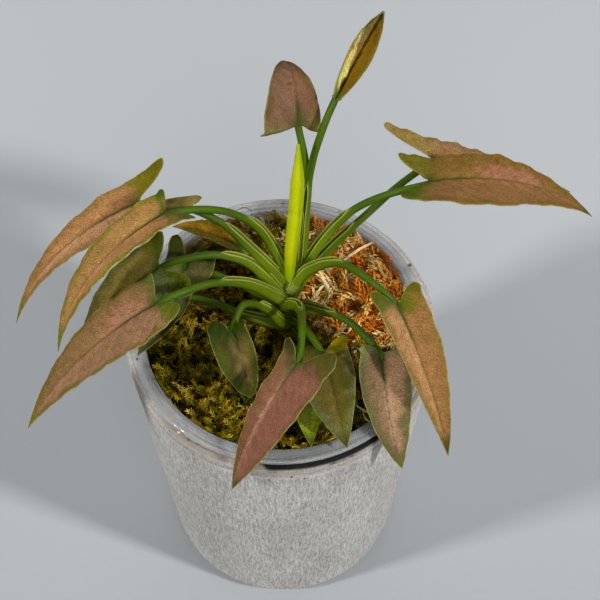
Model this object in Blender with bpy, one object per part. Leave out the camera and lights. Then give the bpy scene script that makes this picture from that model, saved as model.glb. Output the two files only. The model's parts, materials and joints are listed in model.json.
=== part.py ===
"""Potted syngonium: arrow-shaped leaves on arching petioles, rooted in sphagnum
and moss in a clear nursery cup, which hangs by its rim in a concrete-look cover pot.

All sizes below are in millimetres and degrees; the scene is in metres, +Z up,
with the origin at the centre of the pot's underside.  +X is the right of the plant
and -Y is its front.  Heights of leaves are counted from the top of the cup's rim.
"""

from dataclasses import dataclass
from math import cos, pi, radians, sin

import bmesh
import bpy
import numpy as np

MM = 0.001
GAP = 0.3
SEGMENTS = 52
SMOOTH_ANGLE = 40.0

# Cover pot: a tapering concrete-look cylinder with a lip band at its rim.
POT_HEIGHT = 112.0
POT_RIM_RADIUS = 43.7
POT_BASE_RADIUS = 35.5
POT_FOOT_ROUNDING = 6.0
POT_FLOOR = 6.0
POT_MOUTH_RADIUS = 39.5
POT_BORE_RADIUS = 31.5
LIP_BAND = 4.0
LIP_GROOVE = 0.5
GROOVE_BOTTOM = 1.4
GROOVE_TOP = 0.6
POT_EDGE_ROUNDING = 0.8

# Clear cup: thin wall, rolled rim that rests on the pot's rim.
RIM_TOP = 114.0
RIM_RADIUS = 42.5
RIM_ROUNDING = 0.8
RIM_UNDERCUT = 0.3
CUP_WALL = 0.8
CUP_TOP_RADIUS = 38.9
CUP_BASE = 24.0
CUP_BASE_RADIUS = 30.0

# Growing medium: dried sphagnum fills the cup, green moss covers all but one sector of it.
SHELF_DEPTH = 13.0
MOSS_DEPTH = 5.5
MOSS_SLOPE = 0.05
MOSS_LUMP = 1.1
DRY_SECTOR = (-12.0, 84.0)
SECTOR_WALL = 0.5
DRY_STEPS = 12
SHELF_STEPS = 26
SHELF_INSET = 0.1
MOSS_RINGS = (0.0, 0.18, 0.4, 0.62, 0.82, 1.0)
MOSS_STEP = 9.0

# Stem: a short curved crown that all petioles leave.
STEM_PATH = ((1.7, -0.3, -21.0), (1.7, 0.0, -6.0), (2.0, 3.0, 8.0), (2.4, 5.6, 15.5))
STEM_RADIUS = 3.2
STEM_TOP_RADIUS = 2.6
STEM_CENTRE = (1.7, -0.1)
STEM_HOLE_RADIUS = 3.7
STEM_RINGS = 9
STEM_SIDES = 14

# Petioles: round stalks whose lower third is a channelled sheath.
PETIOLE_RADIUS = 1.15
PETIOLE_TIP_RADIUS = 0.95
SHEATH_HALF_WIDTH = 2.3
SHEATH_HEIGHT = 1.5
SHEATH_SHARE = 0.42
SHEATH_FLARE = 0.7
CHANNEL_DEPTH = 1.5
JOINT_CLEARANCE = 0.3
ROOTING = 2.0
ROOT_SHARE = 0.5
PETIOLE_SIDES = 10
PETIOLE_RINGS = 13
FINE_STEPS = 200

BLADE_ROUGHNESS = 0.5
BLADE_TONES = {
    "pink_brown": (0.36, 0.16, 0.09),
    "olive_pink": (0.24, 0.19, 0.07),
    "green": (0.13, 0.18, 0.05),
}

BLADE_THICKNESS = 0.7
LOBE_STEPS = 3
BLADE_STEPS = 8
HALF_STRIPS = 2
LOBE_ROUNDNESS = 0.7
SINUS_CURVE = 0.8

# Rolled new leaf: a slim spear that stands in the crown.
SPEAR_PATH = ((2.6, 6.8, 13.0), (3.2, 10.2, 23.0), (4.3, 15.0, 33.0), (4.9, 19.5, 43.0), (4.9, 24.3, 53.0))
SPEAR_RADII = (1.1, 1.35, 1.45, 1.3, 0.35)
SPEAR_SIDES = 8
SPEAR_RINGS = 14


@dataclass(frozen=True)
class Leaf:
    """One leaf. Pairs are (left, right) seen from the joint towards the tip; heights are above the rim."""

    name: str
    tone: str
    petiole: tuple
    joint: tuple
    tip: tuple
    arch: float
    sway: float
    roll: float
    twist: float
    fold: tuple
    width: tuple
    lobe: tuple
    spread: tuple
    lift: tuple
    widest: float
    taper: float


LEAVES = (
    Leaf(
        "upright_back",
        "pink_brown",
        petiole=((5.0, 9.0, 14.0), (6.5, 18.0, 29.0), (8.5, 24.5, 43.0), (11.5, 29.5, 53.0)),
        joint=(15.0, 34.5, 60.0),
        tip=(26.0, 36.0, 92.0),
        arch=-10.0,
        sway=0.0,
        roll=62,
        twist=-1,
        fold=(58, 57),
        width=(5.5, 6.5),
        lobe=(1.0, 1.0),
        spread=(1.0, 1.0),
        lift=(0.0, 0.0),
        widest=0.35,
        taper=1.9,
    ),
    Leaf(
        "arrow_back",
        "pink_brown",
        petiole=((4.5, 10.0, 14.0), (6.0, 18.0, 29.0), (7.0, 24.5, 41.0)),
        joint=(5.0, 31.0, 52.0),
        tip=(1.0, 50.0, 55.0),
        arch=7.5,
        sway=0.0,
        roll=5,
        twist=11,
        fold=(6, 0),
        width=(9.5, 6.0),
        lobe=(3.0, 3.0),
        spread=(9.0, 6.0),
        lift=(-3.5, 0.0),
        widest=0.05,
        taper=1.5,
    ),
    Leaf(
        "right_upper",
        "pink_brown",
        petiole=((4.5, 8.0, 13.0), (11.0, 14.0, 22.0), (19.0, 17.5, 31.0), (28.0, 17.5, 39.0)),
        joint=(39.5, 20.0, 42.0),
        tip=(84.5, 18.0, 28.0),
        arch=8.0,
        sway=2.5,
        roll=-16,
        twist=3,
        fold=(9, 9),
        width=(9.0, 13.5),
        lobe=(8.5, 7.0),
        spread=(9.0, 4.5),
        lift=(2.5, -0.5),
        widest=0.3,
        taper=1.1,
    ),
    Leaf(
        "right_rear",
        "olive_pink",
        petiole=((5.0, 8.5, 10.0), (13.5, 15.0, 17.0), (23.0, 20.0, 25.0), (32.5, 27.5, 29.0)),
        joint=(42.0, 34.5, 31.0),
        tip=(82.0, 36.0, 13.0),
        arch=0.5,
        sway=1.0,
        roll=-15,
        twist=8,
        fold=(1, 2),
        width=(9.5, 9.0),
        lobe=(14.5, 6.0),
        spread=(8.0, 7.0),
        lift=(1.5, 0.0),
        widest=0.1,
        taper=1.7,
    ),
    Leaf(
        "right_front",
        "pink_brown",
        petiole=((3.0, 6.0, 11.0), (8.0, 7.5, 18.0), (16.0, 4.5, 26.0), (25.0, -4.5, 30.0)),
        joint=(31.0, -9.5, 28.0),
        tip=(45.5, -38.5, -4.0),
        arch=4.0,
        sway=0.0,
        roll=-3,
        twist=2,
        fold=(20, 21),
        width=(7.5, 6.5),
        lobe=(3.5, 5.5),
        spread=(6.0, 6.0),
        lift=(0.0, -0.5),
        widest=0.1,
        taper=1.5,
    ),
    Leaf(
        "front_right",
        "olive_pink",
        petiole=((3.0, 4.0, 4.0), (11.5, -1.0, 10.0), (19.0, -6.5, 13.0)),
        joint=(27.0, -17.0, 15.0),
        tip=(33.5, -38.0, -13.0),
        arch=5.0,
        sway=1.5,
        roll=3,
        twist=5,
        fold=(14, 14),
        width=(7.5, 7.0),
        lobe=(1.0, 2.5),
        spread=(7.0, 4.0),
        lift=(0.0, -0.5),
        widest=0.15,
        taper=1.5,
    ),
    Leaf(
        "front",
        "pink_brown",
        petiole=((1.5, 2.0, 8.0), (5.0, -2.0, 14.0), (6.0, -11.5, 19.0)),
        joint=(4.5, -23.0, 20.0),
        tip=(-13.0, -46.5, -8.0),
        arch=5.0,
        sway=-1.0,
        roll=14,
        twist=2,
        fold=(13, 10),
        width=(12.0, 5.0),
        lobe=(7.5, 4.5),
        spread=(8.0, 5.0),
        lift=(-1.5, 2.0),
        widest=0.05,
        taper=1.7,
    ),
    Leaf(
        "front_inner",
        "olive_pink",
        petiole=((3.0, 1.5, 1.0), (7.0, -5.0, 7.0)),
        joint=(11.5, -14.0, 10.0),
        tip=(18.0, -39.5, 3.0),
        arch=6.5,
        sway=0.5,
        roll=1,
        twist=2,
        fold=(0, 8),
        width=(7.0, 9.0),
        lobe=(7.5, 6.5),
        spread=(7.0, 4.5),
        lift=(-0.5, -1.5),
        widest=0.15,
        taper=1.9,
    ),
    Leaf(
        "front_small",
        "green",
        petiole=((3.5, 0.0, -3.0), (7.5, -6.5, -0.5)),
        joint=(10.5, -17.0, 4.0),
        tip=(8.5, -38.5, 1.5),
        arch=2.0,
        sway=1.0,
        roll=4,
        twist=1,
        fold=(9, 9),
        width=(6.0, 7.0),
        lobe=(3.0, 3.0),
        spread=(3.0, 3.0),
        lift=(0.0, 0.0),
        widest=0.1,
        taper=1.6,
    ),
    Leaf(
        "left_inner",
        "olive_pink",
        petiole=((0.5, 0.0, 2.0), (-4.5, -0.5, 11.0), (-10.0, -3.5, 17.0)),
        joint=(-13.0, -11.0, 16.0),
        tip=(-8.0, -22.5, -1.0),
        arch=3.5,
        sway=-0.5,
        roll=7,
        twist=2,
        fold=(24, 17),
        width=(4.5, 7.0),
        lobe=(1.5, 4.0),
        spread=(4.0, 3.5),
        lift=(0.0, 0.0),
        widest=0.15,
        taper=1.9,
    ),
    Leaf(
        "left_low",
        "pink_brown",
        petiole=((1.0, 3.0, 9.0), (-8.0, 1.5, 20.0), (-17.0, -3.0, 28.0), (-26.0, -8.5, 32.0)),
        joint=(-32.0, -11.5, 32.0),
        tip=(-67.5, -34.0, 4.0),
        arch=5.0,
        sway=0.0,
        roll=14,
        twist=-1,
        fold=(13, 8),
        width=(12.0, 9.0),
        lobe=(5.0, 2.5),
        spread=(5.5, 8.0),
        lift=(0.0, 1.0),
        widest=0.15,
        taper=1.4,
    ),
    Leaf(
        "left_middle",
        "olive_pink",
        petiole=((0.3, 4.7, 10.3), (-8.0, 7.5, 21.0), (-17.5, 7.0, 26.0), (-27.0, 5.0, 26.5)),
        joint=(-32.5, 4.5, 24.0),
        tip=(-55.0, -7.5, 2.0),
        arch=4.0,
        sway=0.0,
        roll=0,
        twist=-2,
        fold=(4, 6),
        width=(12.0, 8.0),
        lobe=(5.5, 5.5),
        spread=(8.5, 7.5),
        lift=(-0.5, 1.0),
        widest=0.15,
        taper=1.6,
    ),
    Leaf(
        "left_top",
        "pink_brown",
        petiole=((1.5, 7.0, 11.0), (-8.0, 10.0, 25.0), (-16.0, 13.0, 33.0), (-26.5, 15.5, 37.0)),
        joint=(-37.5, 16.0, 38.0),
        tip=(-72.5, -4.0, 8.0),
        arch=7.5,
        sway=1.0,
        roll=4,
        twist=3,
        fold=(17, 6),
        width=(8.5, 7.0),
        lobe=(15.5, 10.5),
        spread=(8.0, 7.0),
        lift=(-0.5, 3.0),
        widest=0.05,
        taper=1.1,
    ),
    Leaf(
        "left_upper",
        "pink_brown",
        petiole=((2.5, 8.0, 13.0), (-4.0, 13.5, 26.0), (-12.0, 13.5, 36.0), (-21.0, 10.5, 43.0)),
        joint=(-29.5, 7.5, 46.0),
        tip=(-59.5, -16.0, 14.0),
        arch=7.0,
        sway=0.0,
        roll=21,
        twist=-6,
        fold=(18, 7),
        width=(8.0, 7.5),
        lobe=(6.0, 2.5),
        spread=(7.5, 7.0),
        lift=(-2.5, 0.0),
        widest=0.1,
        taper=1.7,
    ),
    Leaf(
        "back_left",
        "olive_pink",
        petiole=((1.0, 8.5, 5.0), (-5.5, 17.0, 6.0)),
        joint=(-11.5, 21.0, 8.0),
        tip=(-31.0, 29.5, 5.0),
        arch=4.0,
        sway=-1.5,
        roll=4,
        twist=-5,
        fold=(18, 10),
        width=(3.0, 5.0),
        lobe=(3.0, 3.0),
        spread=(2.0, 2.0),
        lift=(0.0, 0.0),
        widest=0.1,
        taper=1.7,
    ),
    Leaf(
        "left_dark",
        "green",
        petiole=((1.0, 4.0, 5.0), (-8.5, 5.0, 12.0), (-18.0, 7.5, 15.0)),
        joint=(-25.5, 11.0, 16.0),
        tip=(-33.0, 3.0, 11.0),
        arch=2.5,
        sway=-1.5,
        roll=-11,
        twist=0,
        fold=(8, 11),
        width=(8.0, 6.0),
        lobe=(5.0, 7.5),
        spread=(3.0, 5.5),
        lift=(0.0, 0.5),
        widest=0.1,
        taper=1.6,
    ),
    Leaf(
        "left_small",
        "green",
        petiole=((-1.0, 0.8, 0.6), (-10.0, 2.0, 2.5), (-19.0, 5.5, 3.0)),
        joint=(-29.5, 7.5, 5.0),
        tip=(-39.5, -11.0, 2.0),
        arch=1.5,
        sway=-1.0,
        roll=-5,
        twist=0,
        fold=(8, 8),
        width=(5.0, 7.0),
        lobe=(4.0, 5.0),
        spread=(2.5, 4.5),
        lift=(0.0, 0.0),
        widest=0.1,
        taper=1.6,
    ),
)


def clear_scene():
    for item in list(bpy.data.objects):
        bpy.data.objects.remove(item, do_unlink=True)


def finish(name, colour, roughness, alpha=1.0, transmission=0.0):
    """Principled material with the part's own colour."""
    made = bpy.data.materials.new(name)
    made.use_nodes = True
    shader = made.node_tree.nodes["Principled BSDF"]
    shader.inputs["Base Color"].default_value = (*colour, 1.0)
    shader.inputs["Roughness"].default_value = roughness
    shader.inputs["Metallic"].default_value = 0.0
    shader.inputs["Alpha"].default_value = alpha
    shader.inputs["Transmission Weight"].default_value = transmission
    made.diffuse_color = (*colour, alpha)
    return made


def add_object(name, points, faces, material):
    """Object from points in millimetres, counted from the pot's underside."""
    mesh = bpy.data.meshes.new(name)
    mesh.from_pydata((np.asarray(points) * MM).tolist(), [], [list(map(int, face)) for face in faces])
    mesh.materials.append(material)
    mesh.shade_smooth()
    mesh.set_sharp_from_angle(angle=radians(SMOOTH_ANGLE))
    made = bpy.data.objects.new(name, mesh)
    bpy.context.scene.collection.objects.link(made)
    return made


def arc(centre, radius, start, end, steps):
    """Points of an arc in the profile plane, angles in degrees."""
    angles = [radians(start + (end - start) * i / steps) for i in range(steps + 1)]
    return [(centre[0] + radius * cos(a), centre[1] + radius * sin(a)) for a in angles]


def lathe(name, profile, material):
    """Turned solid: the profile runs from the axis round the section and back to the axis."""
    shape = bmesh.new()
    corners = [shape.verts.new((r * MM, 0.0, z * MM)) for r, z in profile]
    edges = [shape.edges.new(pair) for pair in zip(corners, corners[1:])]
    bmesh.ops.spin(
        shape, geom=corners + edges, cent=(0, 0, 0), axis=(0, 0, 1), angle=2 * pi, steps=SEGMENTS
    )
    bmesh.ops.remove_doubles(shape, verts=shape.verts, dist=1e-6)
    bmesh.ops.recalc_face_normals(shape, faces=shape.faces)
    mesh = bpy.data.meshes.new(name)
    shape.to_mesh(mesh)
    shape.free()
    mesh.materials.append(material)
    mesh.shade_smooth()
    mesh.set_sharp_from_angle(angle=radians(SMOOTH_ANGLE))
    made = bpy.data.objects.new(name, mesh)
    bpy.context.scene.collection.objects.link(made)
    return made


def pot_radius(height):
    """Outer radius of the pot's straight side."""
    return POT_BASE_RADIUS + (POT_RIM_RADIUS - POT_BASE_RADIUS) * height / POT_HEIGHT


def build_pot():
    material = finish("concrete_grey", (0.50, 0.49, 0.47), 0.85)
    band_foot = POT_HEIGHT - LIP_BAND
    edge = POT_EDGE_ROUNDING
    foot = POT_FOOT_ROUNDING
    profile = [(0.0, 0.0)]
    profile += arc((pot_radius(foot) - foot, foot), foot, -90, -4, 4)
    profile += [
        (pot_radius(band_foot - GROOVE_BOTTOM), band_foot - GROOVE_BOTTOM),
        (pot_radius(band_foot) - LIP_GROOVE, band_foot - GROOVE_TOP),
        (pot_radius(band_foot), band_foot),
    ]
    profile += arc((POT_RIM_RADIUS - edge, POT_HEIGHT - edge), edge, 0, 90, 2)
    profile += arc((POT_MOUTH_RADIUS + edge, POT_HEIGHT - edge), edge, 90, 180, 2)
    profile += [(POT_BORE_RADIUS, POT_FLOOR), (0.0, POT_FLOOR)]
    return lathe("cover_pot", profile, material)


def cup_inner_radius(height):
    """Inner radius of the cup's wall at a height above the floor."""
    share = (height - CUP_BASE) / (RIM_TOP - CUP_BASE)
    return CUP_BASE_RADIUS + (CUP_TOP_RADIUS - CUP_BASE_RADIUS) * share - CUP_WALL


def build_cup():
    material = finish("clear_plastic", (0.93, 0.95, 0.96), 0.12, alpha=0.35, transmission=0.9)
    seat = POT_HEIGHT + GAP
    edge = RIM_ROUNDING
    inner_top = cup_inner_radius(RIM_TOP)
    profile = [(0.0, CUP_BASE), (CUP_BASE_RADIUS, CUP_BASE)]
    profile += [(cup_inner_radius(seat) + CUP_WALL, seat), (RIM_RADIUS - RIM_UNDERCUT, seat)]
    profile += arc((RIM_RADIUS - edge, RIM_TOP - edge), edge, 0, 90, 2)
    profile += arc((inner_top + edge, RIM_TOP - edge), edge, 90, 180, 2)
    profile += [
        (CUP_BASE_RADIUS - CUP_WALL, CUP_BASE + CUP_WALL),
        (0.0, CUP_BASE + CUP_WALL),
    ]
    return lathe("clear_cup", profile, material)


def moss_height(x, y):
    """Lumpy top of the medium: it falls gently to the back, with three crossing waves on it."""
    wave = np.sin(0.42 * x + 1.3) * np.cos(0.37 * y - 0.4)
    wave += 0.6 * np.sin(0.71 * x - 0.55 * y + 2.1)
    wave += 0.4 * np.cos(1.05 * x + 0.9 * y)
    return RIM_TOP - MOSS_DEPTH - MOSS_SLOPE * y + MOSS_LUMP * wave


def to_wall(angles, radius):
    """Distance from the stem to the cup's wall, less the gap, in each direction."""
    along = STEM_CENTRE[0] * np.cos(angles) + STEM_CENTRE[1] * np.sin(angles)
    offset = STEM_CENTRE[0] ** 2 + STEM_CENTRE[1] ** 2
    return -along + np.sqrt(along**2 + (radius - GAP) ** 2 - offset)


def polar_points(distances, angles, heights):
    x = STEM_CENTRE[0] + distances * np.cos(angles)
    y = STEM_CENTRE[1] + distances * np.sin(angles)
    return np.stack([x, y, heights], axis=-1)


def medium_surface(angles, rings, first):
    """Grid of top points: rings run from the stem's hole to the cup's wall."""
    wall = to_wall(angles, cup_inner_radius(RIM_TOP - MOSS_DEPTH))
    edge = polar_points(wall, angles, np.zeros(len(angles)))
    reach = to_wall(angles, cup_inner_radius(moss_height(edge[:, 0], edge[:, 1])))
    share = np.asarray(rings)[:, None]
    distances = first + share * (reach[None] - first)
    x = STEM_CENTRE[0] + distances * np.cos(angles)
    y = STEM_CENTRE[1] + distances * np.sin(angles)
    return distances, moss_height(x, y)


def build_sphagnum():
    """Solid fill of the cup: flat shelf under the green moss, raised lumps in the dry sector."""
    material = finish("dried_sphagnum", (0.45, 0.22, 0.08), 0.9)
    start, end = DRY_SECTOR
    raised = np.linspace(start + SECTOR_WALL, end - SECTOR_WALL, DRY_STEPS)
    flat = np.linspace(end + SECTOR_WALL, start + 360 - SECTOR_WALL, SHELF_STEPS)
    angles = np.radians(np.concatenate([raised, flat]))
    is_raised = np.arange(len(angles)) < len(raised)
    shelf = RIM_TOP - SHELF_DEPTH
    distances, heights = medium_surface(angles, MOSS_RINGS, STEM_HOLE_RADIUS + SHELF_INSET)
    heights = np.where(is_raised, heights, shelf)
    distances[-1] = np.where(is_raised, distances[-1], to_wall(angles, cup_inner_radius(shelf)))
    hole = RIM_TOP + STEM_PATH[0][2] - GAP
    base = CUP_BASE + CUP_WALL + GAP
    count = len(angles)
    rows = [polar_points(np.full(count, STEM_HOLE_RADIUS), angles, np.full(count, hole))]
    rows += [polar_points(distances[i], angles, heights[i]) for i in range(len(MOSS_RINGS))]
    rows.append(polar_points(to_wall(angles, cup_inner_radius(base)), angles, np.full(count, base)))
    points = np.concatenate(rows + [[(*STEM_CENTRE, hole)], [(*STEM_CENTRE, base)]])
    faces = ring_faces(len(rows), count)
    last = len(points) - 1
    faces += [(last - 1, i, (i + 1) % count) for i in range(count)]
    lowest = (len(rows) - 1) * count
    faces += [(last, lowest + (i + 1) % count, lowest + i) for i in range(count)]
    return add_object("dry_sphagnum", points, faces, material)


def ring_faces(rows, count):
    """Triangles between neighbouring closed rings, first ring inside."""
    faces = []
    for row in range(rows - 1):
        for i in range(count):
            a, b = row * count + i, row * count + (i + 1) % count
            faces += [(a, a + count, b + count), (a, b + count, b)]
    return faces


def build_moss():
    """Green moss: an annular slab from the stem's hole to the cup, with the dry sector left open."""
    material = finish("green_moss", (0.12, 0.14, 0.02), 0.9)
    start, end = DRY_SECTOR
    steps = int((360 - end + start) / MOSS_STEP)
    middle = np.linspace(end + SECTOR_WALL, start + 360 - SECTOR_WALL, steps + 1)
    rows = len(MOSS_RINGS)
    distances, _ = medium_surface(np.radians(middle), MOSS_RINGS, STEM_HOLE_RADIUS)
    inset = np.degrees(np.arcsin((GAP + SHELF_INSET) / distances))
    angles = np.radians(np.broadcast_to(middle, distances.shape)).copy()
    angles[:, 0] += np.radians(inset[:, 0])
    angles[:, -1] -= np.radians(inset[:, -1])
    x = STEM_CENTRE[0] + distances * np.cos(angles)
    y = STEM_CENTRE[1] + distances * np.sin(angles)
    top = np.stack([x, y, moss_height(x, y)], axis=-1)
    shelf = RIM_TOP - SHELF_DEPTH + GAP
    low = distances.copy()
    low[-1] = to_wall(angles[-1], cup_inner_radius(shelf))
    bottom = polar_points(low, angles, np.full(angles.shape, shelf))
    columns = angles.shape[1]
    points = np.concatenate([top.reshape(-1, 3), bottom.reshape(-1, 3)])
    sheet = []
    for row in range(rows - 1):
        for i in range(columns - 1):
            a, b = row * columns + i, row * columns + i + 1
            sheet += [(a, a + columns, b + columns), (a, b + columns, b)]
    return add_object("green_moss", points, closed_sheet(np.array(sheet), rows * columns), material)


def closed_sheet(sheet, count):
    """Faces of a slab: the sheet, its reverse shifted by count, and walls round every open edge."""
    edges = np.concatenate([sheet[:, [0, 1]], sheet[:, [1, 2]], sheet[:, [2, 0]]])
    there = {(int(a), int(b)) for a, b in edges}
    rim = [(a, b) for a, b in sorted(there) if (b, a) not in there]
    walls = []
    for a, b in rim:
        walls += [(b, a, a + count), (b, a + count, b + count)]
    return sheet.tolist() + (sheet[:, ::-1] + count).tolist() + walls


def smooth_path(points, count):
    """Catmull-Rom curve through the points, with the samples spaced evenly along it."""
    points = np.asarray(points, float)
    ghosts = np.concatenate([[2 * points[0] - points[1]], points, [2 * points[-1] - points[-2]]])
    places = np.linspace(0, len(points) - 1, FINE_STEPS)
    index = np.minimum(places.astype(int), len(points) - 2)
    t = (places - index)[:, None]
    a, b, c, d = (ghosts[index + i] for i in range(4))
    fine = 2 * b + (c - a) * t + (2 * a - 5 * b + 4 * c - d) * t**2 + (3 * b - a - 3 * c + d) * t**3
    fine *= 0.5
    lengths = np.concatenate([[0.0], np.cumsum(np.linalg.norm(np.diff(fine, axis=0), axis=1))])
    wanted = np.linspace(0, lengths[-1], count)
    return np.stack([np.interp(wanted, lengths, fine[:, i]) for i in range(3)], axis=-1)


def unit(vectors):
    return vectors / np.linalg.norm(vectors, axis=-1, keepdims=True)


def sweep(path, sections):
    """Closed body: one ring of section points at each path point. Sections are (side, up) offsets."""
    tangents = unit(np.gradient(path, axis=0))
    up = np.array([0.0, 0.0, 1.0])
    normals = unit(up - (tangents @ up)[:, None] * tangents)
    sides = np.cross(tangents, normals)
    rings = path[:, None] + sections[..., :1] * sides[:, None] + sections[..., 1:] * normals[:, None]
    count = sections.shape[1]
    points = np.concatenate([rings.reshape(-1, 3), path[:1], path[-1:]])
    last = len(points) - 1
    top = (len(path) - 1) * count
    faces = ring_faces(len(path), count)
    faces += [(last - 1, i, (i + 1) % count) for i in range(count)]
    faces += [(last, top + (i + 1) % count, top + i) for i in range(count)]
    return points, faces


def round_sections(radii, sides):
    angles = np.linspace(0, 2 * pi, sides, endpoint=False)
    circle = np.stack([np.cos(angles), np.sin(angles)], axis=-1)
    return np.asarray(radii)[:, None, None] * circle


def petiole_sections(count):
    """Round near the blade, and a wide channel, hollow on top, over the sheath at the base."""
    along = np.linspace(0, 1, count)
    sheath = np.clip(1 - along / SHEATH_SHARE, 0, 1) ** SHEATH_FLARE
    stalk = PETIOLE_RADIUS + (PETIOLE_TIP_RADIUS - PETIOLE_RADIUS) * along
    width = stalk + (SHEATH_HALF_WIDTH - stalk) * sheath
    height = stalk + (SHEATH_HEIGHT - stalk) * sheath
    angles = np.linspace(0, 2 * pi, PETIOLE_SIDES, endpoint=False)
    side = width[:, None] * np.cos(angles)
    rise = height[:, None] * np.sin(angles)
    dip = np.where(rise > 0, 1 - CHANNEL_DEPTH * sheath[:, None], 1.0)
    sections = np.stack([side, rise * dip], axis=-1)
    sections[0] *= ROOT_SHARE
    return sections


def above_floor(points):
    """Heights above the rim turned into heights above the floor."""
    raised = np.array(points, float)
    raised[..., 2] += RIM_TOP
    return raised


def turned(first, second, degrees):
    """The pair of unit vectors turned in their own plane."""
    angle = np.radians(degrees)
    c, s = np.cos(angle), np.sin(angle)
    return c * first - s * second, c * second + s * first


def midrib_frame(leaf, along):
    """Midrib points, tangents, sides and normals at shares of the blade's length.

    The midrib is a parabola over the chord from joint to tip, raised by arch and
    bent sideways by sway.  Behind the joint it runs straight on along its tangent.
    """
    joint, tip = above_floor(leaf.joint), above_floor(leaf.tip)
    length = np.linalg.norm(tip - joint)
    chord = (tip - joint) / length
    side = unit(np.cross(chord, (0.0, 0.0, 1.0)))
    side, normal = turned(side, np.cross(side, chord), leaf.roll)
    ahead = np.clip(along, 0, 1)[:, None]
    bend = leaf.arch * normal + leaf.sway * side
    tangents = unit(length * chord + 4 * (1 - 2 * ahead) * bend)
    points = joint + along[:, None] * length * chord + 4 * ahead * (1 - ahead) * bend
    behind = joint + along[:, None] * length * tangents
    points = np.where(along[:, None] < 0, behind, points)
    normals = unit(normal - (tangents @ normal)[:, None] * tangents)
    sides, normals = turned(np.cross(tangents, normals), normals, leaf.twist * ahead)
    return points, tangents, sides, normals, length


def half_blade(leaf, hand):
    """Grid of mid-surface points of one half: hand 0 is left of the midrib, 1 is right.

    The outer edge rises from the lobe's tip to the widest place along a sine and
    falls to the tip along a power curve; the inner edge is the midrib, and behind
    the joint the edge of the sinus.
    """
    sign = (-1, 1)[hand]
    width, lobe, spread = leaf.width[hand], leaf.lobe[hand], leaf.spread[hand]
    _, _, _, _, length = midrib_frame(leaf, np.zeros(1))
    lobe_places = -lobe * np.cos(np.linspace(0, pi / 2, LOBE_STEPS + 1))[:-1]
    places = np.concatenate([lobe_places, length * np.linspace(0, 1, BLADE_STEPS + 1)])
    widest = leaf.widest * length
    rise = np.clip((places + lobe) / (widest + lobe), 0, 1) ** LOBE_ROUNDNESS
    fall = np.clip((places - widest) / (length - widest), 0, 1) ** leaf.taper
    outer = np.where(
        places < widest, spread + (width - spread) * np.sin(pi / 2 * rise), width * (1 - fall)
    )
    inner = spread * np.clip(-places / lobe, 0, 1) ** SINUS_CURVE
    across = inner[:, None] + (outer - inner)[:, None] * np.linspace(0, 1, HALF_STRIPS + 1)
    points, _, sides, normals, _ = midrib_frame(leaf, places / length)
    slope = radians(leaf.fold[hand])
    lift = leaf.lift[hand] * np.clip(-places / lobe, 0, 1) ** 2
    out = sign * np.cos(slope) * across
    up = np.sin(slope) * across + lift[:, None]
    return points[:, None] + out[..., None] * sides[:, None] + up[..., None] * normals[:, None]


def welded(points, faces):
    """Points that coincide made one, and the faces that collapse dropped."""
    _, first, index = np.unique(
        np.round(points, 4), axis=0, return_index=True, return_inverse=True
    )
    faces = index.reshape(-1)[faces]
    kept = (faces[:, 0] != faces[:, 1]) & (faces[:, 1] != faces[:, 2]) & (faces[:, 0] != faces[:, 2])
    return points[first], faces[kept]


def blade_sheet(leaf):
    """Mid-surface of the whole blade as welded triangles that face up."""
    points, faces, offset = [], [], 0
    for hand in (0, 1):
        grid = half_blade(leaf, hand)
        rows, columns = grid.shape[:2]
        for row in range(rows - 1):
            for i in range(columns - 1):
                a = offset + row * columns + i
                b, c, d = a + 1, a + columns + 1, a + columns
                pair = [(a, b, c), (a, c, d)]
                faces += pair if hand == 0 else [face[::-1] for face in pair]
        points.append(grid.reshape(-1, 3))
        offset += rows * columns
    return welded(np.concatenate(points), np.array(faces))


def build_blade(leaf, material):
    points, faces = blade_sheet(leaf)
    corners = points[faces]
    face_normals = np.cross(corners[:, 1] - corners[:, 0], corners[:, 2] - corners[:, 0])
    normals = np.zeros_like(points)
    for corner in range(3):
        np.add.at(normals, faces[:, corner], face_normals)
    normals = unit(normals)
    half = BLADE_THICKNESS / 2
    slab = np.concatenate([points + half * normals, points - half * normals])
    return add_object(f"blade_{leaf.name}", slab, closed_sheet(faces, len(points)), material)


def petiole_end(leaf):
    """The petiole stops just under the blade's joint."""
    points, _, _, normals, _ = midrib_frame(leaf, np.zeros(1))
    return points[0] - (BLADE_THICKNESS / 2 + GAP + PETIOLE_TIP_RADIUS + JOINT_CLEARANCE) * normals[0]


def stem_point(height):
    """Point on the stem's axis at a height above the rim."""
    path = above_floor(STEM_PATH)
    level = height + RIM_TOP
    return [np.interp(level, path[:, 2], path[:, 0]), np.interp(level, path[:, 2], path[:, 1]), level]


def petiole_route(leaf):
    """From the stem's axis, through the petiole's own points, to the underside of the joint."""
    start = stem_point(leaf.petiole[0][2] - ROOTING)
    return np.concatenate([[start], above_floor(leaf.petiole), [petiole_end(leaf)]])


def applied_boolean(target, operation, solver, operand=None, collection=None):
    cut = target.modifiers.new(operation.lower(), "BOOLEAN")
    cut.operation = operation
    cut.solver = solver
    if collection:
        cut.operand_type = "COLLECTION"
        cut.collection = collection
    else:
        cut.object = operand
    bpy.context.view_layer.update()
    graph = bpy.context.evaluated_depsgraph_get()
    mesh = bpy.data.meshes.new_from_object(target.evaluated_get(graph))
    target.modifiers.clear()
    target.data = mesh


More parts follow.
